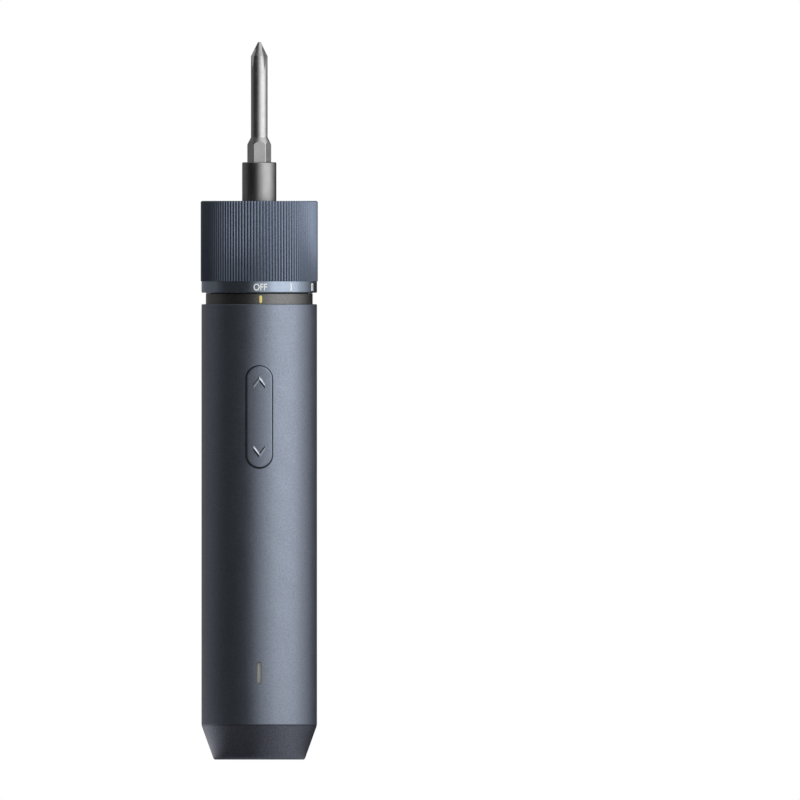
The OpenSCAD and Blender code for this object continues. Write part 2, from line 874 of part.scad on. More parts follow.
module rotor_core() {
    shoe_spread = 50;
    color("#6d7074") translate([0, 0, core_z]) linear_extrude(core_top - core_z) difference() {
        union() {
            circle(r = hub_core_r);
            difference() {
                circle(r = core_r);
                circle(r = shoe_in);
                for (a = pole_angles) rotate(a + 60) translate([shoe_in - 1, -1.1]) square([3, 2.2]);
            }
            for (a = pole_angles) rotate(a) translate([0, -arm_w / 2]) square([shoe_in + 0.3, arm_w]);
        }
        circle(r = shaft_r);
    }
}

module rotor_winding() {
    bulge = 1.8;
    side = arm_w / 2 + 1.95;
    skin = 0.05;
    coil_low = hub_core_r + 0.3;
    coil_high = shoe_in - 1.3;
    color("#c4702e") for (a = pole_angles) rotate(a) difference() {
        block([coil_low, -side, core_z - bulge], [coil_high, side, core_top + bulge]);
        block(
            [coil_low - cut, -arm_w / 2 - skin, core_z - skin],
            [coil_high + cut, arm_w / 2 + skin, core_top + skin]
        );
    }
}

module commutator() {
    color("#cd7f32") difference() {
        ring(commutator_r, shaft_r, bell_top + 0.3, bell_top + 3);
        for (a = pole_angles) rotate(a) block(
            [shaft_r + 0.5, -0.2, bell_top],
            [commutator_r + cut, 0.2, bell_top + 2.7]
        );
    }
}

module motor_shaft() {
    color("#d0d2d5") rod(shaft_r, bell_back - 0.6, rear_top);
}

module motor_pinion() {
    color("#d7b25a") difference() {
        spur_gear(sun_n, plate_top + 0.4, rear_top);
        rod(shaft_r, plate_top, rear_top + cut);
    }
}

// Motor plate with its screws
motor_screw_x = 8;
motor_screw_r = 1;
motor_screw_head = 1.9;

module motor_plate() {
    color("#8d9196") difference() {
        rod(case_r, can_top, plate_top);
        rod(can_boss_r + fixed_gap, can_top - cut, plate_top + cut);
        wire_grooves(can_top, plate_top);
        for (x = [-motor_screw_x, motor_screw_x]) translate([x, 0, 0]) {
            rod(motor_screw_r + fixed_gap, can_top - cut, plate_top + cut);
            translate([0, 0, plate_top - 0.9]) cylinder(
                r1 = motor_screw_r + fixed_gap,
                r2 = motor_screw_head + fixed_gap + 0.1,
                h = 1
            );
        }
    }
}

module motor_screws() {
    color("#c2c4c7") for (x = [-motor_screw_x, motor_screw_x]) translate([x, 0, 0]) difference() {
        union() {
            rod(motor_screw_r, can_top - can_wall, plate_top - 0.4);
            translate([0, 0, plate_top - 0.9])
                cylinder(r1 = motor_screw_r, r2 = motor_screw_head, h = 0.9);
        }
        for (a = [0, 90]) translate([0, 0, plate_top]) rotate(a)
            cube([2, 0.5, 1], center = true);
    }
}

// Gear case, its ring gears and the two planetary stages
key_w = 2.4;
key_out = 0.5;

module gear_case() {
    color("#565b63") difference() {
        union() {
            rod(case_r, plate_top, wall_top);
            rod(hub_r, wall_top - weld, hub_top);
        }
        rod(case_in, plate_top - cut, wall_z);
        rod(lock_r, wall_z - cut, lock_top);
        rod(bush_out, wall_top - cut, hub_top + cut);
        for (i = [0 : ball_count - 1]) rotate(i * 360 / ball_count) translate([ball_ring_r, 0, 0])
            rod(ball_r + run_fit, wall_z - cut, wall_top + cut);
        for (a = lug_angles) rotate(a) block(
            [case_in - cut, -key_w / 2 - fixed_gap, plate_top - cut],
            [case_in + key_out + fixed_gap, key_w / 2 + fixed_gap, rear_ring_top + fixed_gap]
        );
        wire_grooves(plate_top, wall_top);
    }
}

module rear_ring_gear() {
    color("#9b9ea3") difference() {
        union() {
            rod(ring_r, rear_ring_z, rear_ring_top);
            for (a = lug_angles) rotate(a) block(
                [ring_r - weld, -key_w / 2, rear_ring_z],
                [case_in + key_out, key_w / 2, rear_ring_top]
            );
        }
        ring_space(rear_ring_z - cut, rear_ring_top + cut);
    }
}

module front_ring_gear() {
    flange_in = carrier_r - 0.4;
    bump_r = 0.9;
    color("#b0b3b8") union() {
        difference() {
            rod(ring_r, front_ring_z, flange_top);
            rod(flange_in, front_ring_z - cut, flange_top + cut);
            ring_space(front_ring_z - cut, flange_z);
        }
        for (i = [0 : ball_count - 1]) rotate((i + 0.5) * 360 / ball_count) intersection() {
            translate([0, 0, flange_top - bump_r + bump_h])
                cross_rod(bump_r, flange_in + 0.3, ring_r - 0.3, 0, 0);
            block(
                [flange_in, -bump_r - cut, flange_top - weld],
                [ring_r, bump_r + cut, flange_top + bump_r]
            );
        }
    }
}

module planet_pins(z0, z1) {
    for (a = planet_angles) rotate(a) translate([orbit_r, 0, 0]) rod(pin_r, z0, z1);
}

module rear_carrier() {
    color("#c8a24a") union() {
        rod(carrier_r, rear_plate_z, rear_plate_top);
        planet_pins(rear_z, rear_plate_z + weld);
        spur_gear(sun_n, rear_plate_top - weld, front_top);
    }
}

module planet(k, z0, z1) {
    rotate(planet_angles[k]) translate([orbit_r, 0, 0]) difference() {
        rotate(180 / planet_n) spur_gear(planet_n, z0, z1);
        rod(pin_r + run_fit, z0 - cut, z1 + cut);
    }
}

module rear_planet_a() {
    color("#d9d4c4") planet(0, rear_z, rear_top);
}

module rear_planet_b() {
    color("#cfcab9") planet(1, rear_z, rear_top);
}

module rear_planet_c() {
    color("#c6c1b0") planet(2, rear_z, rear_top);
}

module front_carrier() {
    color("#8c9097") difference() {
        union() {
            rod(carrier_r, front_plate_z, front_plate_top);
            planet_pins(front_z, front_plate_z + weld);
        }
        rod(stub_r, front_plate_z - cut, front_plate_top + cut);
    }
}

module front_planet_a() {
    color("#c9ccd1") planet(0, front_z, front_top);
}

module front_planet_b() {
    color("#bfc2c7") planet(1, front_z, front_top);
}

module front_planet_c() {
    color("#b5b8bd") planet(2, front_z, front_top);
}

// Spindle with its lock, bushes and clip
bush_out = 6.5;
front_bush_out = chuck_r + 1.7;
journal_r = chuck_r - chuck_step;
front_bush_in = journal_r + run_fit;

module spindle() {
    color("#a9adb3") difference() {
        union() {
            rod(stub_r, front_plate_z, front_plate_top + weld);
            rod(spindle_r, front_plate_top, chuck_z);
            rod(stub_r, chuck_z - weld, chuck_z + stub_len);
            intersection() {
                rod(cam_r, wall_z + 0.05, lock_top - 0.05);
                translate([0, 0, wall_z]) linear_extrude(front_wall)
                    circle(r = 2 * cam_flat, $fn = 3);
            }
        }
        difference() {
            rod(spindle_r + cut, clip_z, clip_z + clip_t);
            rod(groove_r, clip_z - cut, clip_z + clip_t + cut);
        }
    }
}

module spindle_clip() {
    color("#3c3f44") difference() {
        ring(clip_r, groove_r, clip_z, clip_z + clip_t);
        block([0, -groove_r + 0.6, clip_z - cut], [clip_r + cut, groove_r - 0.6, clip_z + clip_t + cut]);
    }
}

module lock_ring() {
    color("#7b7f86") ring(lock_r, lock_in, wall_z + fixed_gap, lock_top - fixed_gap);
}

module lock_rollers() {
    color("#e0e2e5") for (a = [60, 180, 300]) rotate(a) translate([cam_flat + roller_r + lock_play, 0, 0])
        rod(roller_r, wall_z + face_gap, lock_top - face_gap, $fn = 32);
}

module rear_bush() {
    color("#b08d57") ring(bush_out, spindle_r + run_fit, rear_bush_z, hub_top);
}

module front_bush() {
    color("#b08d57") ring(front_bush_out, front_bush_in, front_bush_z, front_bush_top);
}

module chuck() {
    edge = 0.4;
    lead = 0.35;
    color("#4b4a4d") difference() {
        rotate_extrude() polygon(concat(
            [[0, chuck_z], [journal_r, chuck_z], [journal_r, collar_top], [chuck_r, collar_top]],
            [for (a = [0 : 15 : 90]) [chuck_r - edge + edge * cos(a), chuck_top - edge + edge * sin(a)]],
            [[0, chuck_top]]
        ));
        rod(stub_r, chuck_z - cut, chuck_z + stub_len);
        rod(magnet_r + fixed_gap / 2, magnet_z, socket_z + cut);
        hex_bar(hex_af / 2 + hex_play, socket_z, chuck_top + cut);
        translate([0, 0, chuck_top - lead]) cylinder(
            r1 = bit_corner_r + hex_play,
            r2 = bit_corner_r + hex_play + lead + 0.05,
            h = lead + 0.05
        );
    }
}

// A hexagonal bar given by half its width over the flats
module hex_bar(half_af, z0, z1) {
    translate([0, 0, z0]) rotate(bit_turn) linear_extrude(z1 - z0)
        circle(r = half_af / cos(30), $fn = 6);
}

module bit_magnet() {
    color("#d5d7da") rod(magnet_r, magnet_z, socket_z);
}

module bit() {
    hex_top = chuck_top + bit_hex_out;
    taper = 1.8;
    tip_r = 0.42;
    root_r = 0.75;
    flute_low = bit_top - flute_len;
    lean = atan2(bit_r - root_r, flute_len);
    wing_turn = -bit_turn - 5;
    chamfer = 0.5;
    color("#b9bbbe") difference() {
        intersection() {
            union() {
                hex_bar(hex_af / 2, bit_z, hex_top + taper);
                rod(bit_r, hex_top, bit_top);
            }
            rotate_extrude() polygon([
                [0, bit_z], [bit_corner_r - chamfer, bit_z], [bit_corner_r, bit_z + chamfer],
                [bit_corner_r, hex_top], [bit_r, hex_top + taper], [bit_r, bit_top - tip_len],
                [tip_r, bit_top], [0, bit_top]
            ]);
        }
        for (a = [0 : 90 : 270]) rotate(bit_turn + wing_turn + 45 + a - 90)
            translate([bit_r, 0, flute_low]) rotate([0, -lean, 0])
                linear_extrude(flute_len * 1.3) polygon([[0, 0], [5, 5.1], [5, -5.1]]);
    }
}

// Clutch: balls, plate, spring and seat
module clutch_balls() {
    color("#e6e8ea") for (i = [0 : ball_count - 1]) rotate(i * 360 / ball_count)
        translate([ball_ring_r, 0, ball_z]) sphere(r = ball_r);
}

module clutch_plate() {
    color("#8a8e94") ring(case_in - fixed_gap, hub_r + 1, clutch_plate_z, spring_z);
}

// Points of the spring's middle line, its rings of wire and the faces between them
coil_steps = 20;
wire_sides = 8;
coil_rest = 0.04;
coil_rise = spring_len - 2 * wire_r - 2 * coil_rest;
coil_count = coil_turns * coil_steps;
function coil_point(i) = [
    coil_r * cos(i * 360 / coil_steps),
    coil_r * sin(i * 360 / coil_steps),
    spring_z + wire_r + coil_rest + coil_rise * i / coil_count
];
function wire_point(i, j) =
    let (a = i * 360 / coil_steps, b = j * 360 / wire_sides, c = coil_point(i))
    c + wire_r * [cos(b) * cos(a), cos(b) * sin(a), sin(b)];
coil_gap = min([for (i = [0 : coil_steps]) norm(coil_point(i + coil_steps) - coil_point(i))]) - 2 * wire_r;
echo(spring_turn_gap = coil_gap);

module clutch_spring() {
    sides = wire_sides;
    points = [for (i = [0 : coil_count]) for (j = [0 : sides - 1]) wire_point(i, j)];
    walls = [
        for (i = [0 : coil_count - 1]) for (j = [0 : sides - 1])
            let (a = i * sides + j, b = i * sides + (j + 1) % sides)
            each [[a, b, b + sides], [a, b + sides, a + sides]]
    ];
    start = [for (j = [1 : sides - 2]) [0, j + 1, j]];
    last = coil_count * sides;
    end = [for (j = [1 : sides - 2]) [last, last + j, last + j + 1]];
    color("#dfe2e6") polyhedron(points, concat(walls, start, end));
}

module seat_lugs(grow, z0, z1, reach) {
    for (a = lug_angles) rotate(a) intersection() {
        block(
            [sleeve_in - 2, -lug_width / 2 - grow, z0],
            [reach + cut, lug_width / 2 + grow, z1]
        );
        rod(reach, z0 - cut, z1 + cut);
    }
}

module spring_seat() {
    color("#5a6270") union() {
        ring(sleeve_in - face_gap, hub_r + 0.8, seat_z, seat_top);
        seat_lugs(0, lug_z, lug_z + lug_height, lug_reach);
    }
}

// Clutch housing: the fixed sleeve that the collar turns on
module clutch_housing() {
    boss_r = front_bush_out + 2.1;
    slot_end = 0.3;
    color("#4c5159") difference() {
        union() {
            ring(sleeve_r, sleeve_in, wall_top, housing_top);
            rod(sleeve_in + weld, housing_top - housing_front, housing_top);
            rod(boss_r, front_bush_z, housing_top - weld);
        }
        rod(front_bush_out, front_bush_z - cut, housing_top + cut);
        seat_lugs(
            lug_side_gap,
            lug_z - seat_travel - slot_end,
            lug_z + lug_height + slot_end,
            sleeve_r + cut
        );
        wire_grooves(wall_top, housing_top);
    }
}

// Neck ring with its mark and the leaf spring that clicks under the scale
module neck_ring() {
    ring_bore = case_r + run_fit;
    spigot = 4.2;
    edge = 0.2;
    color("#2b2c2f") difference() {
        union() {
            rotate_extrude() polygon([
                [ring_bore, body_top], [neck_r, body_top], [neck_r, neck_top - edge],
                [neck_r - edge, neck_top], [ring_bore, neck_top]
            ]);
            ring(tube_in - run_fit, ring_bore, body_top - spigot, body_top + weld);
        }
        mark_solid(0.5, fixed_gap);
    }
}

module mark_solid(deep, grow) {
    rotate(mark_turn) intersection() {
        block(
            [-mark_w / 2 - grow / 4, -neck_r - cut, body_top + 0.3 - grow / 4],
            [mark_w / 2 + grow / 4, 0, neck_top - 0.25 + grow / 4]
        );
        ring(neck_r + 0.02 + grow, neck_r - deep, body_top, neck_top);
    }
}

module index_mark() {
    color("#e6cf5a") mark_solid(0.45, 0);
}

leaf_t = 0.25;
click_r = 0.6;
leaf_room = 0.9;
leaf_reach = collar_bore + leaf_room;

module detent_leaf() {
    spread = 25;
    r0 = sleeve_r + 0.02;
    z0 = scale_z + 0.15;
    z1 = z0 + 1.7;
    color("#d2d4d6") union() {
        rotate(90 - spread) translate([0, 0, z0]) rotate_extrude(angle = 2 * spread)
            translate([r0, 0]) square([leaf_t, z1 - z0]);
        intersection() {
            rotate(90) translate([leaf_reach - click_r - fixed_gap, 0, 0])
                rod(click_r, z0, z1, $fn = 32);
            ring(leaf_reach, r0, z0 - cut, z1 + cut);
        }
    }
}

module scale_ring() {
    spigot = 2.6;
    edge = 0.12;
    notch_r = 0.65;
    color("#8b98ab") difference() {
        union() {
            rotate_extrude() polygon([
                [collar_bore, scale_z], [scale_r - edge, scale_z], [scale_r, scale_z + edge],
                [scale_r, scale_top], [collar_bore, scale_top]
            ]);
            ring(cam_ring_r - press_gap, collar_bore, scale_top - weld, scale_top + spigot);
        }
        rod(leaf_reach, scale_z - cut, scale_z + 2);
        for (i = [0 : 3]) rotate(90 + i * collar_turn / 3) translate([leaf_reach - 0.1, 0, 0])
            rod(notch_r, scale_z - cut, scale_z + 2, $fn = 32);
    }
}

// The cam ring's helical windows drive the seat's lugs as the collar turns
cam_z = scale_top + 2.8;
cam_top = lug_z + lug_height + 2.6;
cam_steps = 11;

module cam_window(i) {
    step = collar_turn / cam_steps;
    slack = 0.15;
    side = 0.6;
    high = lug_z + lug_height + slack - i * seat_travel / cam_steps;
    low = lug_z - slack - (i + 1) * seat_travel / cam_steps;
    rotate(i * step - lug_half - side) translate([0, 0, low])
        rotate_extrude(angle = step + 2 * lug_half + 2 * side)
            translate([collar_bore - cut, 0]) square([cam_ring_t + 2 * cut, high - low]);
}

module cam_ring() {
    color("#c9c3b4") difference() {
        ring(cam_ring_r - press_gap, collar_bore, cam_z, cam_top - press_gap);
        for (a = lug_angles) rotate(a) for (i = [0 : cam_steps - 1]) cam_window(i);
    }
}

function rib(i) = let (p = 360 / rib_count, a = i * p) [
    polar(collar_r - rib_depth, a - p * 0.42),
    polar(collar_r, a - p * 0.2),
    polar(collar_r, a + p * 0.2),
    polar(collar_r - rib_depth, a + p * 0.42)
];

module torque_collar() {
    e = collar_edge;
    low = 0.15;
    color("#4e5a6c") difference() {
        intersection() {
            translate([0, 0, scale_top]) linear_extrude(collar_h)
                polygon([for (i = [0 : rib_count - 1]) each rib(i)]);
            rotate_extrude() polygon([
                [0, scale_top], [collar_r - low, scale_top], [collar_r + cut, scale_top + low + cut],
                [collar_r + cut, collar_top - e - cut], [collar_r - e, collar_top], [0, collar_top]
            ]);
        }
        rod(cam_ring_r, scale_top - cut, cam_top);
        rod(collar_bore, scale_top - cut, collar_top + cut);
        rod(recess_r, shoulder_z, collar_top + cut);
    }
}

// Nose: fixed cap, lamp lens and lamp board
lens_in = 8.2;
lens_out = 11.2;
lens_t = 1.05;
lamp_count = 6;
lamp_r = (lens_in + lens_out) / 2;

module nose_cap() {
    hole = chuck_r + 0.4;
    edge = 0.3;
    color("#24262a") difference() {
        rotate_extrude() polygon([
            [hole, nose_z], [nose_r, nose_z], [nose_r, nose_top - edge],
            [nose_r - edge, nose_top], [hole + edge, nose_top], [hole, nose_top - edge]
        ]);
        ring(lens_out + run_fit, lens_in - run_fit, nose_top - lens_t, nose_top + cut);
        for (i = [0 : lamp_count - 1]) rotate((i + 0.5) * 360 / lamp_count)
            translate([lamp_r, 0, 0]) rod(1.3, nose_z - cut, nose_top, $fn = 32);
    }
}

module lamp_lens() {
    dome = 0.06;
    color("#e9ecec") rotate_extrude() polygon([
        [lens_in, nose_top - lens_t], [lens_out, nose_top - lens_t], [lens_out, nose_top],
        [lens_out - 0.3, nose_top + dome], [lens_in + 0.3, nose_top + dome], [lens_in, nose_top]
    ]);
}

module lamp_board() {
    board_in = chuck_r + 1;
    lamp = 1.6;
    lamp_h = 0.7;
    color("#1f4a35") union() {
        ring(sleeve_r - fixed_gap, board_in, lamp_board_z, nose_z);
        for (i = [0 : lamp_count - 1]) rotate((i + 0.5) * 360 / lamp_count)
            translate([lamp_r, 0, nose_z + (lamp_h - weld) / 2])
                cube([lamp, lamp, lamp_h + weld], center = true);
    }
}

tail_cap();
usb_socket();
usb_board();
wiring();
body_tube();
status_lens();
main_board();
tact_switches();
rocker_button();
battery_cell();
battery_strips();
chassis_left();
chassis_right();
chassis_screws();
motor_can();
motor_magnets();
motor_end_bell();
motor_brushes();
motor_bushes();
rotor_core();
rotor_winding();
commutator();
motor_shaft();
motor_pinion();
motor_plate();
motor_screws();
gear_case();
rear_ring_gear();
front_ring_gear();
rear_carrier();
rear_planet_a();
rear_planet_b();
rear_planet_c();
front_carrier();
front_planet_a();
front_planet_b();
front_planet_c();
spindle();
chuck();
bit_magnet();
bit();
lock_ring();
lock_rollers();
rear_bush();
front_bush();
spindle_clip();
clutch_balls();
clutch_plate();
clutch_spring();
spring_seat();
clutch_housing();
neck_ring();
index_mark();
detent_leaf();
cam_ring();
scale_ring();
torque_collar();
nose_cap();
lamp_lens();
lamp_board();
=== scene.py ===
"""Looks of a pocket electric screwdriver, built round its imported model."""

import json
import math

import bmesh
import bpy
from mathutils import Matrix, Vector


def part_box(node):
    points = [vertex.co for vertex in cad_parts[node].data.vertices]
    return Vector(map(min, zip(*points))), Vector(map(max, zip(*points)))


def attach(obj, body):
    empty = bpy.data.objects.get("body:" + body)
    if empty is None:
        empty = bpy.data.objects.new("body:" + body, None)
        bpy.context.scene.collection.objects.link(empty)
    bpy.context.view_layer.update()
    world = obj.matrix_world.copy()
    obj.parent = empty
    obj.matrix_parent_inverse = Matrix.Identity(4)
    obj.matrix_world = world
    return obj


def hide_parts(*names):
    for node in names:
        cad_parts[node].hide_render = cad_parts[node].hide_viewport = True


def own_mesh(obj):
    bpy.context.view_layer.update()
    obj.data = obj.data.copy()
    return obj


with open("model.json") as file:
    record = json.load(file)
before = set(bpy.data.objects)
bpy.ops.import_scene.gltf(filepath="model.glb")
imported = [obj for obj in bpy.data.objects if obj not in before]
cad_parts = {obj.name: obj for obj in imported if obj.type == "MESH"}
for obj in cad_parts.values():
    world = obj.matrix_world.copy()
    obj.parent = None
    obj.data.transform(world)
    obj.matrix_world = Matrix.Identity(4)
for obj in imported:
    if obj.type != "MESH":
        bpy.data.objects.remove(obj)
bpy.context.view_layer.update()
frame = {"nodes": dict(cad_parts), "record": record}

MM = 0.001

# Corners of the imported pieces' boxes, in metres
body_low, body_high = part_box("body_tube")
scale_low, scale_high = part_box("scale_ring")
collar_low, collar_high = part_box("torque_collar")
button_low, button_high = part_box("rocker_button")
neck_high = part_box("neck_ring")[1]

BODY_R = body_high.x
BUTTON_Z = (button_low.z + button_high.z) / 2


# Finishes. Every pattern is on Object coordinates, in metres.
# Noise keeps mostly between these two values.
NOISE_LOW = 0.3
NOISE_HIGH = 0.7


def start_finish(name, rough, metal=0.0):
    """A new material with its shader, and the plain values of roughness and metal."""
    mat = bpy.data.materials.new(name)
    mat.use_nodes = True
    shader = mat.node_tree.nodes["Principled BSDF"]
    shader.inputs["Roughness"].default_value = rough
    shader.inputs["Metallic"].default_value = metal
    return mat, shader


def grain(mat, size_mm, detail=2.0, stretch=(1, 1, 1)):
    """Noise whose spots are about size_mm wide, drawn out where stretch is under 1."""
    tree = mat.node_tree
    coords = tree.nodes.new("ShaderNodeTexCoord")
    place = tree.nodes.new("ShaderNodeMapping")
    place.inputs["Scale"].default_value = stretch
    noise = tree.nodes.new("ShaderNodeTexNoise")
    noise.inputs["Scale"].default_value = 1 / (size_mm * MM)
    noise.inputs["Detail"].default_value = detail
    tree.links.new(coords.outputs["Object"], place.inputs["Vector"])
    tree.links.new(place.outputs["Vector"], noise.inputs["Vector"])
    return noise.outputs["Fac"]


def tint(mat, shader, pattern, dark, light):
    """The colour drifts from dark to light with the pattern."""
    tree = mat.node_tree
    ramp = tree.nodes.new("ShaderNodeValToRGB")
    ramp.color_ramp.elements[0].position = NOISE_LOW
    ramp.color_ramp.elements[1].position = NOISE_HIGH
    ramp.color_ramp.elements[0].color = (*dark, 1)
    ramp.color_ramp.elements[1].color = (*light, 1)
    tree.links.new(pattern, ramp.inputs["Fac"])
    tree.links.new(ramp.outputs["Color"], shader.inputs["Base Color"])


def vary_roughness(mat, shader, pattern, smooth, rough):
    """Roughness runs from smooth to rough with the pattern."""
    tree = mat.node_tree
    span = tree.nodes.new("ShaderNodeMapRange")
    span.inputs["From Min"].default_value = NOISE_LOW
    span.inputs["From Max"].default_value = NOISE_HIGH
    span.inputs["To Min"].default_value = smooth
    span.inputs["To Max"].default_value = rough
    tree.links.new(pattern, span.inputs["Value"])
    tree.links.new(span.outputs["Result"], shader.inputs["Roughness"])


def emboss(mat, shader, pattern, depth_mm, strength=1.0):
    """The pattern stands out of the surface by depth_mm."""
    tree = mat.node_tree
    bump = tree.nodes.new("ShaderNodeBump")
    bump.inputs["Distance"].default_value = depth_mm * MM
    bump.inputs["Strength"].default_value = strength
    tree.links.new(pattern, bump.inputs["Height"])
    tree.links.new(bump.outputs["Normal"], shader.inputs["Normal"])


def around(colour, spread):
    """Two tones, spread below and above a colour."""
    return [c * (1 - spread) for c in colour], [c * (1 + spread) for c in colour]


BLASTED_BLUE = (0.205, 0.232, 0.285)
BUTTON_BLUE = (0.2, 0.227, 0.28)
COLLAR_BLUE = (0.15, 0.18, 0.24)
SCALE_BLUE = (0.25, 0.295, 0.365)
TAIL_BLUE = (0.175, 0.185, 0.235)
NECK_BLACK = (0.142, 0.142, 0.141)
# Lighter than the button's blue: a painted highlight on the chevrons, which are of the button's
# own material.
CHEVRON_PAINTED_HIGHLIGHT = (0.4, 0.43, 0.49)

SPECKLE_MM = 0.45
HAZE_MM = 6
GRIT_MM = 0.22
GRIT_DEPTH_MM = 0.01
HAZE_SPAN = 0.02


def blasted_coat(name, colour, rough, metal, relief=0.35, mottle=0.07):
    """A satin coat over blasted metal: a fine grain in its tone and its surface."""
    mat, shader = start_finish(name, rough, metal)
    tint(mat, shader, grain(mat, SPECKLE_MM, detail=3), *around(colour, mottle))
    haze = grain(mat, HAZE_MM, detail=4)
    vary_roughness(mat, shader, haze, rough - HAZE_SPAN, rough + HAZE_SPAN)
    emboss(mat, shader, grain(mat, GRIT_MM, detail=2), GRIT_DEPTH_MM, relief)
    return mat


def body_coat():
    return blasted_coat("blasted_blue_coat", BLASTED_BLUE, 0.42, 0.92, mottle=0.13)


def button_coat():
    return blasted_coat("button_blue_coat", BUTTON_BLUE, 0.46, 0.85, mottle=0.12)


def chevron_edge():
    """The coat of the chevrons: a lighter, shinier copy of the button's coat, a painted highlight
    on their slopes.
    """
    return blasted_coat("chevron_painted_highlight_coat", CHEVRON_PAINTED_HIGHLIGHT, 0.2, 0.95, relief=0.1)


def collar_coat():
    return blasted_coat("collar_blue_coat", COLLAR_BLUE, 0.4, 0.85, relief=0.1)


def scale_coat():
    return blasted_coat("scale_blue_coat", SCALE_BLUE, 0.28, 0.92)


PIGMENT_MM = 8
TOUCH_MM = 3
TOUCH_SPAN = 0.04
SPARK_DEPTH_MM = 0.012
DRIFT = 0.06


def moulded_plastic(name, colour, rough, texture_mm=0.3):
    """Moulded plastic with a spark-eroded texture."""
    mat, shader = start_finish(name, rough)
    tint(mat, shader, grain(mat, PIGMENT_MM, detail=3), *around(colour, DRIFT))
    touch = grain(mat, TOUCH_MM, detail=4)
    vary_roughness(mat, shader, touch, rough - TOUCH_SPAN, rough + TOUCH_SPAN)
    emboss(mat, shader, grain(mat, texture_mm, detail=2), SPARK_DEPTH_MM, 0.4)
    return mat


def tail_plastic():
    return blasted_coat("tail_dark_coat", TAIL_BLUE, 0.4, 0.85, mottle=0.22)


def neck_dark():
    return blasted_coat("neck_black_coat", NECK_BLACK, 0.38, 0.92, mottle=0.15)


def nose_black():
    return moulded_plastic("nose_black", (0.02, 0.021, 0.023), 0.5)


def frame_plastic():
    return moulded_plastic("chassis_plastic", (0.02, 0.022, 0.025), 0.6)


def bell_plastic():
    return moulded_plastic("end_bell_plastic", (0.7, 0.68, 0.6), 0.45)


def switch_black():
    return moulded_plastic("switch_black", (0.025, 0.026, 0.03), 0.4)


def gear_nylon():
    return moulded_plastic("gear_nylon", (0.62, 0.59, 0.5), 0.42)


def wire_skin():
    return moulded_plastic("wire_skin_red", (0.42, 0.04, 0.025), 0.38)


def cell_wrap():
    return moulded_plastic("cell_wrap_blue", (0.03, 0.14, 0.36), 0.25, 2.0)


STAIN_MM = 2.5
LINE_STRETCH = (0.05, 0.05, 1)
LINE_SPAN = 0.05
LINE_DEPTH_MM = 0.006


def turned_metal(name, colour, rough, streak_mm=0.25):
    """Metal with fine turning lines round the axis."""
    mat, shader = start_finish(name, rough, 1.0)
    lines = grain(mat, streak_mm, detail=3, stretch=LINE_STRETCH)
    tint(mat, shader, grain(mat, STAIN_MM, detail=4), *around(colour, DRIFT))
    vary_roughness(mat, shader, lines, rough - LINE_SPAN, rough + LINE_SPAN)
    emboss(mat, shader, lines, LINE_DEPTH_MM, 0.35)
    return mat


def chuck_steel():
    return turned_metal("chuck_gunmetal", (0.285, 0.283, 0.285), 0.38)


def bit_steel():
    return turned_metal("bit_satin_steel", (0.46, 0.46, 0.46), 0.4)


def gear_steel():
    return turned_metal("gear_steel", (0.5, 0.5, 0.51), 0.35)


def bearing_steel():
    return turned_metal("bearing_steel", (0.68, 0.68, 0.7), 0.12)


def spring_steel():
    return turned_metal("spring_steel", (0.46, 0.46, 0.47), 0.28)


def screw_steel():
    return turned_metal("screw_steel", (0.5, 0.5, 0.5), 0.3)


def shaft_steel():
    return turned_metal("shaft_steel", (0.6, 0.6, 0.61), 0.16)


def plate_steel():
    return turned_metal("plate_blackened_steel", (0.045, 0.045, 0.047), 0.5, 0.6)


def usb_steel():
    return turned_metal("socket_steel", (0.55, 0.55, 0.56), 0.28)


def brass():
    return turned_metal("gear_brass", (0.72, 0.5, 0.2), 0.3)


def bronze():
    return turned_metal("bush_bronze", (0.45, 0.28, 0.13), 0.42, 0.15)


def copper():
    return turned_metal("copper", (0.72, 0.33, 0.17), 0.28, 0.4)


def magnet_nickel():
    return turned_metal("magnet_nickel", (0.6, 0.58, 0.55), 0.18)


def nickel_strip():
    return turned_metal("nickel_strip", (0.56, 0.54, 0.5), 0.3)


def core_iron():
    return turned_metal("core_iron", (0.22, 0.22, 0.23), 0.45, 0.5)


def ferrite():
    mat, shader = start_finish("ferrite_grey", 0.7)
    tint(mat, shader, grain(mat, 0.6, detail=5), *around((0.055, 0.055, 0.06), 0.2))
    emboss(mat, shader, grain(mat, 0.3), 0.02, 0.5)
    return mat


def mark_yellow():
    mat, shader = start_finish("mark_yellow", 0.4)
    tint(mat, shader, grain(mat, 0.8), *around((0.96, 0.78, 0.22), 0.03))
    return mat


def print_white():
    mat, shader = start_finish("print_white", 0.45)
    tint(mat, shader, grain(mat, 0.8), *around((0.9, 0.92, 0.93), 0.03))
    return mat


def light_guide():
    mat, shader = start_finish("light_guide", 0.35)
    tint(mat, shader, grain(mat, 1.5), *around((0.58, 0.58, 0.5), 0.04))
    shader.inputs["Subsurface Weight"].default_value = 0.3
    shader.inputs["Subsurface Radius"].default_value = (0.0006, 0.0006, 0.0005)
    return mat


def lamp_lens():
    mat, shader = start_finish("lamp_lens_frosted", 0.4)
    tint(mat, shader, grain(mat, 1.5), *around((0.72, 0.74, 0.75), 0.03))
    emboss(mat, shader, grain(mat, 0.3), 0.01, 0.4)
    shader.inputs["Transmission Weight"].default_value = 0.35
    return mat


def board_green():
    mat, shader = start_finish("board_green", 0.35)
    tint(mat, shader, grain(mat, 0.9, detail=4), *around((0.02, 0.12, 0.055), 0.15))
    emboss(mat, shader, grain(mat, 0.4), 0.01, 0.3)
    return mat


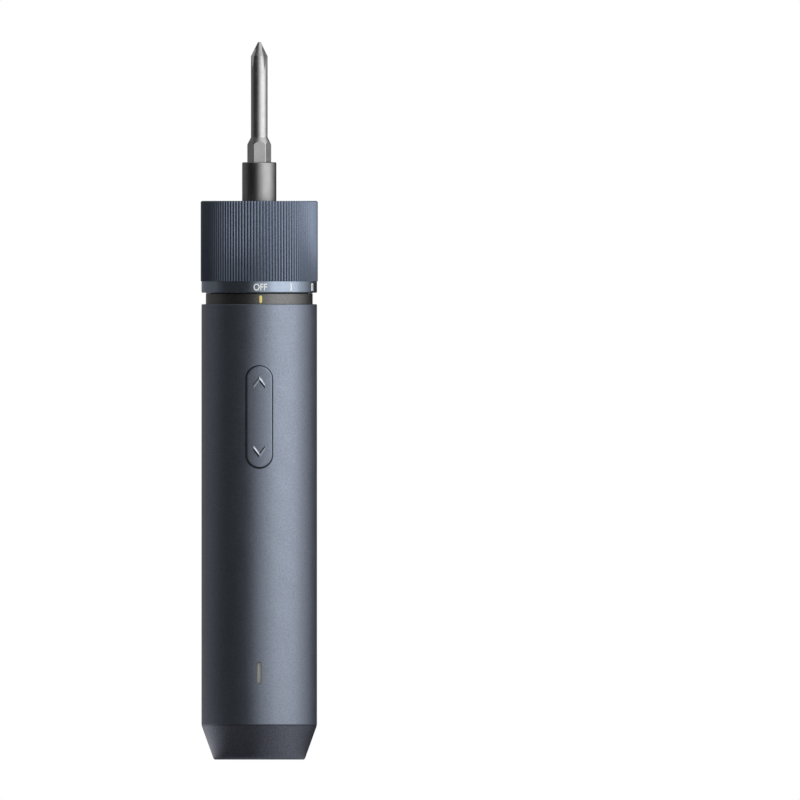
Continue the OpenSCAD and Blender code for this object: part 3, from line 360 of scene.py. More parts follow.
SLOT_FINISHES = {
    "body_coat": body_coat,
    "button_coat": button_coat,
    "collar_coat": collar_coat,
    "scale_coat": scale_coat,
    "tail_plastic": tail_plastic,
    "neck_dark": neck_dark,
    "nose_black": nose_black,
    "frame_plastic": frame_plastic,
    "bell_plastic": bell_plastic,
    "switch_black": switch_black,
    "gear_nylon": gear_nylon,
    "wire_skin": wire_skin,
    "cell_wrap": cell_wrap,
    "chuck_steel": chuck_steel,
    "bit_steel": bit_steel,
    "gear_steel": gear_steel,
    "bearing_steel": bearing_steel,
    "spring_steel": spring_steel,
    "screw_steel": screw_steel,
    "shaft_steel": shaft_steel,
    "plate_steel": plate_steel,
    "usb_steel": usb_steel,
    "brass": brass,
    "bronze": bronze,
    "copper": copper,
    "magnet_nickel": magnet_nickel,
    "nickel_strip": nickel_strip,
    "core_iron": core_iron,
    "ferrite": ferrite,
    "mark_yellow": mark_yellow,
    "light_guide": light_guide,
    "lamp_lens": lamp_lens,
    "board_green": board_green,
}


def finish_cad_nodes():
    """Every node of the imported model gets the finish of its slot."""
    made = {}
    for part in frame["record"]["subparts"]:
        slot = part["material_slot"]
        if slot not in made:
            made[slot] = SLOT_FINISHES[slot]()
        node = frame["nodes"][part["node"]]
        node.data.materials.clear()
        node.data.materials.append(made[slot])
    return made


# Camera, light and stage
PIXELS = 800
PIXEL_MM = 0.303
AXIS_PX = 259.25
FOOT_PX = 759.6
CAMERA_BACK = 0.9


def set_camera():
    """A level view from the front, without perspective, as the photograph has it."""
    lens = bpy.data.cameras.new("camera")
    lens.type = "ORTHO"
    lens.ortho_scale = PIXELS * PIXEL_MM * MM
    camera = bpy.data.objects.new("camera", lens)
    bpy.context.scene.collection.objects.link(camera)
    across = (PIXELS / 2 - AXIS_PX) * PIXEL_MM * MM
    up = (FOOT_PX - PIXELS / 2) * PIXEL_MM * MM
    camera.location = (across, -CAMERA_BACK, up)
    camera.rotation_euler = (math.radians(90), 0, 0)
    bpy.context.scene.camera = camera


# Glow round the tool, as pairs of azimuth and strength, on a tall screen and on two floor cards.
# They show in reflections alone, so the metal has its bright and dark sides.
SCREEN_GLOW = [
    (-180, 0.0), (-164, 0.27), (-128, 0.21), (-98, 0.22), (-76, 0.02), (-14, 0.0), (2, 1.0),
    (96, 1.0), (116, 0.38), (130, 0.03), (142, 0.0), (180, 0.0),
]
FAR_GLOW = [
    (-180, 0.0), (-150, 0.28), (-118, 0.3), (-104, 0.0), (-14, 0.0), (0, 0.55), (95, 0.55),
    (125, 0.0), (180, 0.0),
]
NEAR_GLOW = [
    (-180, 0.0), (-150, 0.8), (-112, 0.9), (-84, 0.45), (-58, 0.04), (-10, 0.0), (18, 0.18),
    (48, 0.4), (80, 0.24), (108, 0.0), (180, 0.0),
]
SCREEN_R = 0.75
SCREEN_LOW = -0.4
SCREEN_HIGH = 1.9
CARD_HOLE_R = 14.5 * MM
CARD_SPLIT_R = 70 * MM
CARD_LIFT = 0.2 * MM
GLOW_STEPS = 4
FLOOR_TONE = 0.8
FLOOR_GLOW = 0.45
WORLD_LIGHT = 0.6
AIM_Z = 0.11


def towards(azimuth):
    """A level direction; 0 is the front, and 90 the right-hand side."""
    a = math.radians(azimuth)
    return Vector((math.sin(a), -math.cos(a), 0))


def azimuth_of(point):
    return math.degrees(math.atan2(point.x, -point.y))


def softbox(name, azimuth, distance, width, height, lift, power):
    """A lamp with a rectangular face, aimed at the tool's middle."""
    lamp = bpy.data.lights.new(name, "AREA")
    lamp.shape = "RECTANGLE"
    lamp.size = width
    lamp.size_y = height
    lamp.energy = power
    holder = bpy.data.objects.new(name, lamp)
    bpy.context.scene.collection.objects.link(holder)
    holder.location = towards(azimuth) * distance + Vector((0, 0, lift))
    aim = Vector((0, 0, AIM_Z)) - holder.location
    holder.rotation_euler = aim.to_track_quat("-Z", "Y").to_euler()


def floor_finish():
    """A matt floor that keeps its shadows and looks white to the camera."""
    mat, shader = start_finish("floor_white", 0.9)
    shader.inputs["Base Color"].default_value = (FLOOR_TONE, FLOOR_TONE, FLOOR_TONE, 1)
    shader.inputs["Specular IOR Level"].default_value = 0
    shader.inputs["Emission Color"].default_value = (1, 1, 1, 1)
    path = mat.node_tree.nodes.new("ShaderNodeLightPath")
    level = mat.node_tree.nodes.new("ShaderNodeMapRange")
    level.inputs["To Max"].default_value = FLOOR_GLOW
    mat.node_tree.links.new(path.outputs["Is Camera Ray"], level.inputs["Value"])
    mat.node_tree.links.new(level.outputs["Result"], shader.inputs["Emission Strength"])
    return mat


def glow_ring(name, glow, inner, outer):
    """A sheet all round, from a line of radius and height, that only reflections see."""
    bm = bmesh.new()
    layer = bm.verts.layers.float.new("glow")
    for (start, start_glow), (end, end_glow) in zip(glow, glow[1:]):
        line = [
            bm.verts.new(towards(start) * r + Vector((0, 0, z))) for r, z in (inner, outer)
        ]
        edge = bm.edges.new(line)
        swept = bmesh.ops.spin(
            bm, geom=[*line, edge], cent=(0, 0, 0), axis=(0, 0, 1),
            angle=math.radians(end - start), steps=GLOW_STEPS,
        )
        last = [g for g in swept["geom_last"] if isinstance(g, bmesh.types.BMVert)]
        for v in bm.verts:
            if v in line:
                v[layer] = start_glow
            elif v in last:
                v[layer] = end_glow
            elif v[layer] == 0 and start < azimuth_of(v.co) < end:
                share = (azimuth_of(v.co) - start) / (end - start)
                v[layer] = start_glow + share * (end_glow - start_glow)
    sheet = mesh_object(name, bm)
    mat, shader = start_finish(f"{name}_cloth", 0.9)
    shader.inputs["Base Color"].default_value = (0, 0, 0, 1)
    shader.inputs["Emission Color"].default_value = (1, 1, 1, 1)
    strength = mat.node_tree.nodes.new("ShaderNodeAttribute")
    strength.attribute_name = "glow"
    mat.node_tree.links.new(strength.outputs["Fac"], shader.inputs["Emission Strength"])
    sheet.data.materials.append(mat)
    sheet.visible_camera = False
    sheet.visible_diffuse = False
    sheet.visible_shadow = False
    sheet.visible_transmission = False


def set_stage():
    """A pale floor, and the glow that shapes the reflections."""
    bm = bmesh.new()
    bmesh.ops.create_grid(bm, x_segments=1, y_segments=1, size=2.0)
    floor = mesh_object("floor", bm)
    floor.data.materials.append(floor_finish())
    glow_ring("screen", SCREEN_GLOW, (SCREEN_R, SCREEN_LOW), (SCREEN_R, SCREEN_HIGH))
    glow_ring("far_card", FAR_GLOW, (CARD_SPLIT_R, CARD_LIFT), (SCREEN_R, CARD_LIFT))
    glow_ring("near_card", NEAR_GLOW, (CARD_HOLE_R, CARD_LIFT), (CARD_SPLIT_R, CARD_LIFT))


def set_world():
    """White where it is seen or mirrored, and dim as a light."""
    world = bpy.data.worlds.new("studio")
    bpy.context.scene.world = world
    world.use_nodes = True
    tree = world.node_tree
    path = tree.nodes.new("ShaderNodeLightPath")
    seen = tree.nodes.new("ShaderNodeMath")
    seen.operation = "MAXIMUM"
    shown = tree.nodes.new("ShaderNodeMath")
    shown.operation = "MAXIMUM"
    level = tree.nodes.new("ShaderNodeMapRange")
    level.inputs["To Min"].default_value = WORLD_LIGHT
    level.inputs["To Max"].default_value = 1.0
    tree.links.new(path.outputs["Is Camera Ray"], seen.inputs[0])
    tree.links.new(path.outputs["Is Glossy Ray"], seen.inputs[1])
    tree.links.new(seen.outputs[0], shown.inputs[0])
    tree.links.new(path.outputs["Is Transmission Ray"], shown.inputs[1])
    tree.links.new(shown.outputs[0], level.inputs["Value"])
    backdrop = tree.nodes["Background"]
    backdrop.inputs["Color"].default_value = (1, 1, 1, 1)
    tree.links.new(level.outputs["Result"], backdrop.inputs["Strength"])


def set_lights():
    """One soft lamp from the right, and the plain view transform."""
    softbox(
        "key_softbox", azimuth=52, distance=0.5, width=0.6, height=0.7, lift=0.2, power=1.5
    )
    bpy.context.scene.view_settings.view_transform = "Standard"


# Mesh tools
def mesh_object(name, bm, smooth=True):
    """Ends a bmesh as an object at the origin."""
    bmesh.ops.recalc_face_normals(bm, faces=bm.faces)
    mesh = bpy.data.meshes.new(name)
    bm.to_mesh(mesh)
    bm.free()
    if smooth:
        mesh.shade_smooth()
    piece = bpy.data.objects.new(name, mesh)
    bpy.context.scene.collection.objects.link(piece)
    return piece


def settle(piece):
    """Applies the piece's modifiers."""
    graph = bpy.context.evaluated_depsgraph_get()
    mesh = bpy.data.meshes.new_from_object(piece.evaluated_get(graph))
    piece.modifiers.clear()
    piece.data = mesh


def combine(piece, other, operation):
    """Cuts other out of piece, joins it on, or keeps what they share. Other goes."""
    step = piece.modifiers.new("combine", "BOOLEAN")
    step.operation = operation
    step.solver = "EXACT"
    step.object = other
    settle(piece)
    bpy.data.objects.remove(other)


def soften(piece, width, segments=2, angle=30):
    """Rounds the edges that are sharper than angle."""
    edge = piece.modifiers.new("soft_edges", "BEVEL")
    edge.width = width
    edge.segments = segments
    edge.limit_method = "ANGLE"
    edge.angle_limit = math.radians(angle)
    piece.data.shade_smooth()
    normals = piece.modifiers.new("flat_faces_lead", "WEIGHTED_NORMAL")
    normals.weight = 100
    settle(piece)


def turned(name, profile, steps):
    """A turned piece from its closed outline of radius and height, in metres."""
    bm = bmesh.new()
    points = [bm.verts.new((r, 0, z)) for r, z in profile]
    lines = [bm.edges.new((points[i - 1], points[i])) for i in range(len(points))]
    bmesh.ops.spin(
        bm, geom=points + lines, cent=(0, 0, 0), axis=(0, 0, 1),
        angle=math.tau, steps=steps, use_merge=True,
    )
    bmesh.ops.remove_doubles(bm, verts=bm.verts, dist=1e-7)
    return mesh_object(name, bm)


def arc(centre_r, centre_z, radius, start, end, steps=6):
    """Points of radius and height along an arc, with angles in degrees."""
    angles = [math.radians(start + (end - start) * i / steps) for i in range(steps + 1)]
    return [(centre_r + radius * math.cos(a), centre_z + radius * math.sin(a)) for a in angles]


def pill_face(bm, width, height, z, y, segments=96):
    """An upright pill outline filled with one face, at depth y."""
    turn = Matrix.Rotation(math.pi / 2, 4, "X") @ Matrix.Rotation(math.pi / segments, 4, "Z")
    made = bmesh.ops.create_circle(
        bm, cap_ends=True, segments=segments, radius=width / 2, matrix=turn
    )
    for v in made["verts"]:
        side = 1 if v.co.z > 0 else -1
        v.co = Vector((v.co.x, y, z + v.co.z + side * (height - width) / 2))
    return made["verts"][0].link_faces[0]


def pill_bar(name, width, height, z, y0, y1):
    """A pill drawn out from depth y0 to y1."""
    bm = bmesh.new()
    face = pill_face(bm, width, height, z, y0)
    drawn = bmesh.ops.extrude_face_region(bm, geom=[face])
    moved = [v for v in drawn["geom"] if isinstance(v, bmesh.types.BMVert)]
    bmesh.ops.translate(bm, verts=moved, vec=(0, y1 - y0, 0))
    return mesh_object(name, bm, smooth=False)


def dress(piece, body, slot, finish, *nodes):
    """The piece takes a finish, rides on its body and stands for its nodes."""
    piece.data.materials.clear()
    piece.data.materials.append(finish)
    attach(piece, body)
    if nodes:
        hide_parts(*nodes)


# Rocker button
SLOT_W = 8.45 * MM
SLOT_H = 31.4 * MM
BUTTON_GAP = 0.23 * MM
BUTTON_SHIFT = 0.07 * MM
BUTTON_RIM = 0.55 * MM
BUTTON_BACK_Y = -15.6 * MM
BUTTON_W = SLOT_W - 2 * BUTTON_GAP
BUTTON_H = SLOT_H - 2 * BUTTON_GAP
BUTTON_FACE_R = BODY_R + 0.12 * MM
BUTTON_FACE_Y = -BUTTON_FACE_R
CHEVRON_OFFSET = 10.5 * MM
CHEVRON_W = 3.5 * MM
CHEVRON_H = 3.2 * MM
CHEVRON_LINE = 1.05 * MM
CHEVRON_RISE = 0.42 * MM
CHEVRON_ROOT = 0.3 * MM
CHEVRON_CREST = 0.12
CHEVRON_EDGE = 0.03 * MM
BUTTON_EDGE = 0.04 * MM
RIM_STEPS = 7
FACE_CUTS = 9
FACE_PITCH = 0.4 * MM


def button_face(x):
    """Depth of the button's gently curved face."""
    return BUTTON_FACE_Y + BUTTON_FACE_R - math.sqrt(BUTTON_FACE_R**2 - x**2)


def make_chevron(direction):
    """A ridge with two slopes, bent into an arrow head; direction 1 points up."""
    half = CHEVRON_W / 2
    slope = (CHEVRON_H - CHEVRON_LINE) / half
    tall = CHEVRON_LINE * math.sqrt(1 + slope**2) / 2
    section = [
        (-tall, CHEVRON_ROOT), (-tall, 0), (-CHEVRON_CREST * tall, -CHEVRON_RISE),
        (CHEVRON_CREST * tall, -CHEVRON_RISE), (tall, 0), (tall, CHEVRON_ROOT),
    ]
    tip = BUTTON_Z + direction * (CHEVRON_OFFSET + CHEVRON_H / 2 - CHEVRON_LINE / 2)
    bm = bmesh.new()
    points = [
        bm.verts.new((-half, button_face(half) + y, tip - direction * slope * half + z))
        for z, y in section
    ]
    face = bm.faces.new(points)
    for x0, x1 in ((-half, -half / 2), (-half / 2, 0), (0, half / 2), (half / 2, half)):
        drawn = bmesh.ops.extrude_face_region(bm, geom=[face])
        moved = [v for v in drawn["geom"] if isinstance(v, bmesh.types.BMVert)]
        rise = direction * slope * (abs(x0) - abs(x1))
        bmesh.ops.translate(
            bm, verts=moved, vec=(x1 - x0, button_face(x1) - button_face(x0), rise)
        )
        if face.is_valid and x0 > -half:
            bmesh.ops.delete(bm, geom=[face], context="FACES_ONLY")
        face = [f for f in drawn["geom"] if isinstance(f, bmesh.types.BMFace)][0]
    chevron = mesh_object("chevron_up" if direction > 0 else "chevron_down", bm, smooth=False)
    soften(chevron, CHEVRON_EDGE)
    # The chevrons take a lighter, shinier copy of the button coat: a painted highlight.
    dress(chevron, "rocker", "button_coat", finishes["chevron_edge"])


LUG_X0 = 2.5 * MM
LUG_X1 = 3.8 * MM
LUG_H = 2.4 * MM
PIVOT_Y = -13.2 * MM
TRUNNION_R = 0.6 * MM
OVERLAP = 0.1 * MM


def join_pivot(button, side):
    """A lug behind the rocker, with the trunnion that it tilts on."""
    lug_y0 = BUTTON_BACK_Y - OVERLAP
    lug_y1 = PIVOT_Y + TRUNNION_R
    size = Matrix.Diagonal((LUG_X1 - LUG_X0, lug_y1 - lug_y0, LUG_H, 1))
    middle = Vector((side * (LUG_X0 + LUG_X1) / 2, (lug_y0 + lug_y1) / 2, BUTTON_Z))
    bm = bmesh.new()
    bmesh.ops.create_cube(bm, size=1, matrix=Matrix.Translation(middle) @ size)
    combine(button, mesh_object("lug", bm, smooth=False), "UNION")
    start = LUG_X1 - OVERLAP
    middle = Vector((side * (start + button_high.x) / 2, PIVOT_Y, BUTTON_Z))
    across = Matrix.Rotation(math.pi / 2, 4, "Y")
    bm = bmesh.new()
    bmesh.ops.create_cone(
        bm, cap_ends=True, segments=32, radius1=TRUNNION_R, radius2=TRUNNION_R,
        depth=button_high.x - start, matrix=Matrix.Translation(middle) @ across,
    )
    combine(button, mesh_object("trunnion", bm, smooth=False), "UNION")


def make_button():
    """The rocker: a pill with a soft rim and a curved face, and its pivot behind.

    It sits a touch up and to the right in its slot, as the photograph shows it.
    """
    bm = bmesh.new()
    face = pill_face(bm, BUTTON_W, BUTTON_H, BUTTON_Z, BUTTON_FACE_Y)
    drawn = bmesh.ops.extrude_face_region(bm, geom=[face])
    moved = [v for v in drawn["geom"] if isinstance(v, bmesh.types.BMVert)]
    bmesh.ops.translate(bm, verts=moved, vec=(0, BUTTON_BACK_Y - BUTTON_FACE_Y, 0))
    rim = [e for e in bm.edges if all(abs(v.co.y - BUTTON_FACE_Y) < 1e-7 for v in e.verts)]
    bmesh.ops.bevel(
        bm, geom=rim, offset=BUTTON_RIM, segments=RIM_STEPS, profile=0.5, affect="EDGES",
        material=-1,
    )
    for i in range(-FACE_CUTS, FACE_CUTS + 1):
        bmesh.ops.bisect_plane(
            bm, geom=bm.verts[:] + bm.edges[:] + bm.faces[:],
            plane_co=(i * FACE_PITCH, 0, 0), plane_no=(1, 0, 0),
        )
    for v in bm.verts:
        if v.co.y < (BUTTON_FACE_Y + BUTTON_BACK_Y) / 2:
            v.co.y += button_face(v.co.x) - BUTTON_FACE_Y
    bmesh.ops.translate(bm, verts=bm.verts, vec=(BUTTON_SHIFT, 0, BUTTON_SHIFT))
    button = mesh_object("rocker_cap", bm)
    for side in (-1, 1):
        join_pivot(button, side)
    soften(button, BUTTON_EDGE)
    dress(button, "rocker", "button_coat", finishes["button_coat"], "rocker_button")


# Lettering on the scale ring
PRINT_H = 0.03 * MM
MARK_H = 2.3 * MM
MARK_W = 0.5 * MM
MARK_STEP = 33
BAR_PITCH = 0.85 * MM
OFF_TURN = 1.1
BARS_TURN = 0.4
OFF_WIDE = 4.1 * MM
OFF_HIGH = 2.1 * MM
OFF_WEIGHT = 0.015
SETTINGS = 3
MARK_Z = scale_low.z + 1.725 * MM


def wrap(piece, turn):
    """Bends a flat print, drawn in x and z with its thickness in y, round the scale ring."""
    for v in piece.data.vertices:
        a = v.co.x / BODY_R + math.radians(turn)
        r = BODY_R - v.co.y
        v.co = Vector((r * math.sin(a), -r * math.cos(a), v.co.z + MARK_Z))


def make_off_print():
    """The word OFF, as wide and high as the real one."""
    text = bpy.data.curves.new("off_text", "FONT")
    text.body = "OFF"
    text.align_x = "CENTER"
    text.extrude = PRINT_H
    text.offset = OFF_WEIGHT
    draft = bpy.data.objects.new("off_text", text)
    bpy.context.scene.collection.objects.link(draft)
    bpy.context.view_layer.update()
    graph = bpy.context.evaluated_depsgraph_get()
    mesh = bpy.data.meshes.new_from_object(draft.evaluated_get(graph))
    bpy.data.objects.remove(draft)
    piece = bpy.data.objects.new("off_print", mesh)
    bpy.context.scene.collection.objects.link(piece)
    xs = [v.co.x for v in mesh.vertices]
    ys = [v.co.y for v in mesh.vertices]
    wide = OFF_WIDE / (max(xs) - min(xs))
    high = OFF_HIGH / (max(ys) - min(ys))
    for v in mesh.vertices:
        x = (v.co.x - (max(xs) + min(xs)) / 2) * wide
        z = (v.co.y - (max(ys) + min(ys)) / 2) * high
        v.co = Vector((x, -v.co.z, z))
    wrap(piece, OFF_TURN)
    dress(piece, "collar", None, finishes["print_white"])


def make_bar(name, turn, shift):
    """One upright bar of a setting's mark."""
    bm = bmesh.new()
    bmesh.ops.create_cube(bm, size=1, matrix=Matrix.Diagonal((MARK_W, 2 * PRINT_H, MARK_H, 1)))
    bmesh.ops.translate(bm, verts=bm.verts, vec=(shift, 0, 0))
    bar = mesh_object(name, bm, smooth=False)
    wrap(bar, turn)
    dress(bar, "collar", None, finishes["print_white"])


def make_marks():
    """OFF, then one, two and three bars at the settings."""
    make_off_print()
    for setting in range(1, SETTINGS + 1):
        for i in range(setting):
            shift = (i - (setting - 1) / 2) * BAR_PITCH
            make_bar(f"mark_{setting}_{i + 1}", BARS_TURN + setting * MARK_STEP, shift)


# Body tube
BODY_WALL = 1.6 * MM
BODY_EDGE = 0.35 * MM
BODY_STEPS = 240
FOOT_START = -80
OPENING_DEEP = 5 * MM
OPENING_EDGE = 0.1 * MM
LIGHT_W = 1.25 * MM
LIGHT_H = 6.7 * MM


def make_body():
    """The tube with its rounded rim and its two openings, whose edges are broken."""
    inside = BODY_R - BODY_WALL
    foot = arc(BODY_R - BODY_EDGE, body_low.z + BODY_EDGE, BODY_EDGE, FOOT_START, 0)
    rim = arc(BODY_R - BODY_EDGE, body_high.z - BODY_EDGE, BODY_EDGE, 0, 90)
    profile = [
        (inside, body_low.z), (BODY_R - BODY_EDGE, body_low.z), *foot,
        *rim, (inside, body_high.z),
    ]
    body = turned("body_shell", profile, BODY_STEPS)
    lens_low, lens_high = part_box("status_lens")
    light_z = (lens_low.z + lens_high.z) / 2
    front = -(BODY_R + MM)
    back = -(BODY_R - OPENING_DEEP)
    combine(body, pill_bar("slot_cut", SLOT_W, SLOT_H, BUTTON_Z, front, back), "DIFFERENCE")
    combine(body, pill_bar("light_cut", LIGHT_W, LIGHT_H, light_z, front, back), "DIFFERENCE")
    soften(body, OPENING_EDGE)
    dress(body, "handle", "body_coat", finishes["body_coat"], "body_tube")


# Status light
LIGHT_GAP = 0.05 * MM
LIGHT_SINK = 1.0 * MM
LIGHT_SEAT_Y = -15.7 * MM
LIGHT_FLANGE = 2 * MM
LIGHT_EDGE = 0.08 * MM


def make_status_light():
    """The milky window, sunk in its slot, with the flange behind it."""
    low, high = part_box("status_lens")
    z = (low.z + high.z) / 2
    width = LIGHT_W - 2 * LIGHT_GAP
    height = LIGHT_H - 2 * LIGHT_GAP
    front = -(BODY_R - LIGHT_SINK)
    window = pill_bar("status_window", width, height, z, front, LIGHT_SEAT_Y + LIGHT_GAP)
    soften(window, LIGHT_EDGE)
    flange = pill_bar(
        "flange", LIGHT_W + LIGHT_FLANGE, LIGHT_H + LIGHT_FLANGE, z, LIGHT_SEAT_Y, high.y
    )
    combine(window, flange, "UNION")
    dress(window, "handle", "light_guide", finishes["light_guide"], "status_lens")


# Scale ring
SCALE_EDGE = 0.35 * MM
LEAF_RECESS_R = 15.8 * MM
LEAF_RECESS_H = 2.0 * MM
LIP_R = 16.0 * MM
LIP_SPAN = 0.3 * MM
LIP_GAP = 0.02 * MM
SPIGOT_R = 15.95 * MM
NOTCH_R = 0.65 * MM
NOTCH_IN = 0.1 * MM
BAND_STEPS = 180
BAND_EDGE = 0.03 * MM


def make_scale_ring():
    """The smooth ring: a rounded lower edge, a lip that closes the slit, and its clicks."""
    low = scale_low.z
    inner = COLLAR_BORE
    recess = low + LEAF_RECESS_H
    edge = arc(BODY_R - SCALE_EDGE, low + SCALE_EDGE, SCALE_EDGE, -90, 0)
    profile = [
        (LEAF_RECESS_R, neck_high.z + LIP_GAP), (LIP_R, neck_high.z + LIP_GAP),
        (LIP_R + LIP_SPAN, low), *edge, (BODY_R, collar_low.z), (SPIGOT_R, collar_low.z),
        (SPIGOT_R, scale_high.z), (inner, scale_high.z), (inner, recess), (LEAF_RECESS_R, recess),
    ]
    ring = turned("scale_band", profile, BAND_STEPS)
    for click in range(SETTINGS + 1):
        a = math.radians(90 + click * MARK_STEP)
        r = LEAF_RECESS_R - NOTCH_IN
        bm = bmesh.new()
        bmesh.ops.create_cone(
            bm, cap_ends=True, segments=32, radius1=NOTCH_R, radius2=NOTCH_R,
            depth=2 * (recess - neck_high.z),
            matrix=Matrix.Translation((r * math.cos(a), r * math.sin(a), neck_high.z)),
        )
        combine(ring, mesh_object("notch", bm, smooth=False), "DIFFERENCE")
    soften(ring, BAND_EDGE)
    dress(ring, "collar", "scale_coat", finishes["scale_coat"], "scale_ring")


# Torque collar
RIB_COUNT = 120
RIB_DEPTHS = [0.28, 0.28, 0.2, 0.07, 0.0, 0.0, 0.07, 0.2, 0.28, 0.28]
COLLAR_EDGE = 0.35 * MM
COLLAR_BORE = 14.9 * MM
CAM_POCKET_R = 16.0 * MM
RECESS_R = 15.7 * MM
RECESS_EDGE = 0.15 * MM
BOARD_SEAT = 0.9 * MM
FOOT_IN = 0.15 * MM
FOOT_RIB_IN = 0.45 * MM
CREST_H = 0.1 * MM
CREST_IN = 0.26 * MM
CREST_RIB = 0.6
TOP_IN = 0.42 * MM


def make_collar():
    """The ribbed collar: rounded ribs, a chamfered rim, and the recess for the nose."""
    cam_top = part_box("cam_ring")[1].z
    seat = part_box("lamp_board")[1].z - BOARD_SEAT
    low, high = collar_low.z, collar_high.z
    radius = collar_high.x
    steps = len(RIB_DEPTHS)
    levels = [
        (low, radius - FOOT_RIB_IN, 0), (low, radius - FOOT_IN, 1), (low + FOOT_IN, radius, 1),
        (high - COLLAR_EDGE, radius, 1), (high - CREST_H, radius - CREST_IN, CREST_RIB),
        (high, radius - TOP_IN, 0), (high, RECESS_R + RECESS_EDGE, 0),
        (high - RECESS_EDGE, RECESS_R, 0), (seat, RECESS_R, 0), (seat, COLLAR_BORE, 0),
        (cam_top, COLLAR_BORE, 0), (cam_top, CAM_POCKET_R, 0), (low, CAM_POCKET_R, 0),
    ]
    bm = bmesh.new()
    ring = bmesh.ops.create_circle(bm, segments=RIB_COUNT * steps, radius=1)["verts"]
    first = ring
    for i, (z, r, ribbed) in enumerate(levels):
        if i:
            loop = list({e for v in ring for e in v.link_edges if all(w in ring for w in e.verts)})
            drawn = bmesh.ops.extrude_edge_only(bm, edges=loop)["geom"]
            ring = set(g for g in drawn if isinstance(g, bmesh.types.BMVert))
        else:
            ring = set(ring)
        for v in ring:
            turn = math.atan2(v.co.y, v.co.x)
            place = round(turn / math.tau * RIB_COUNT * steps) % steps
            out = r - ribbed * RIB_DEPTHS[place] * MM
            v.co = Vector((out * math.cos(turn), out * math.sin(turn), z))
    last = list({e for v in ring for e in v.link_edges if all(w in ring for w in e.verts)})
    start = list({e for v in first for e in v.link_edges if all(w in first for w in e.verts)})
    bmesh.ops.bridge_loops(bm, edges=last + start)
    collar = mesh_object("collar_ribbed", bm)
    collar.data.set_sharp_from_angle(angle=math.radians(40))
    dress(collar, "collar", "collar_coat", finishes["collar_coat"], "torque_collar")


# Index mark
INLAY_W = 0.85 * MM
INLAY_TOP_GAP = 0.35 * MM
INLAY_EDGE = 0.03 * MM


def make_index_mark():
    """The yellow inlay with round ends, flush with the neck ring."""
    low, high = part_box("index_mark")
    height = high.z - low.z - INLAY_TOP_GAP
    inlay = pill_bar("index_inlay", INLAY_W, height, low.z + height / 2, low.y - MM, high.y)
    ring = turned("ring_face", [
        (0, low.z - MM), (-low.y, low.z - MM), (-low.y, high.z + MM), (0, high.z + MM),
    ], BODY_STEPS)
    combine(inlay, ring, "INTERSECT")
    soften(inlay, INLAY_EDGE)
    middle = (low + high) / 2
    inlay.data.transform(Matrix.Rotation(math.atan2(middle.x, -middle.y), 4, "Z"))
    dress(inlay, "handle", "mark_yellow", finishes["mark_yellow"], "index_mark")


# Chuck and bit
chuck_low, chuck_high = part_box("chuck")
bit_low, bit_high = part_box("bit")
HEX_AF = 6.35 * MM
HEX_PLAY = 0.05 * MM
CHUCK_EDGE = 0.4 * MM
CHUCK_STEPS = 128
JOURNAL_STEP = 0.2 * MM
JOURNAL_RISE = 0.05 * MM
SOCKET_FLOOR_GAP = 0.02 * MM
LEAD_OUT = 0.25 * MM
LEAD_DEEP = 0.4 * MM
STUB_BORE_R = 3.0 * MM
STUB_TOP_Z = chuck_low.z + 4.7 * MM
MAGNET_PLAY = 0.05 * MM
SOCKET_EDGE = 0.05 * MM
BIT_TURN = 2
BIT_R = 2.52 * MM
BIT_STEPS = 48
BIT_EDGE = 0.04 * MM
BIT_EDGE_ANGLE = 20
HEX_OUT = 5.4 * MM
HEX_TAPER = 2.15 * MM
HEX_ROUND = 0.04 * MM
SHANK_CHAMFER = 0.5 * MM
SHAFT_ROOM = 0.2 * MM
RUN_OUT = 0.6 * MM
TIP_LEN = 4.36 * MM
TIP_R = 0.6 * MM
TIP_SLOPE = 26.2
FLUTE_LEN = 9.1 * MM
FLUTE_ROOT_R = 0.25 * MM
FLUTE_DEEP = 4 * MM
FLUTE_TURN = 39
FLUTE_SPREAD = 0.9
# Height above the flutes' foot, and the root's distance from the axis
FLUTE_PATH = [
    (h * MM, r * MM)
    for h, r in ((-0.2, 2.58), (0.8, 2.3), (2.4, 2.08), (4.6, 1.75), (6.6, 1.06), (9.6, 0.4))
]


def hex_corner(across_flats):
    """The radius over a hexagon's sharp corners."""
    return across_flats / 2 / math.cos(math.radians(30))


def hex_bar(name, across_flats, low, high):
    """An upright hexagonal bar."""
    bm = bmesh.new()
    corner = hex_corner(across_flats)
    middle = Matrix.Translation((0, 0, (low + high) / 2))
    turn = Matrix.Rotation(math.radians(BIT_TURN + 30), 4, "Z")
    bmesh.ops.create_cone(
        bm, cap_ends=True, segments=6, radius1=corner, radius2=corner,
        depth=high - low, matrix=middle @ turn,
    )
    return mesh_object(name, bm, smooth=False)


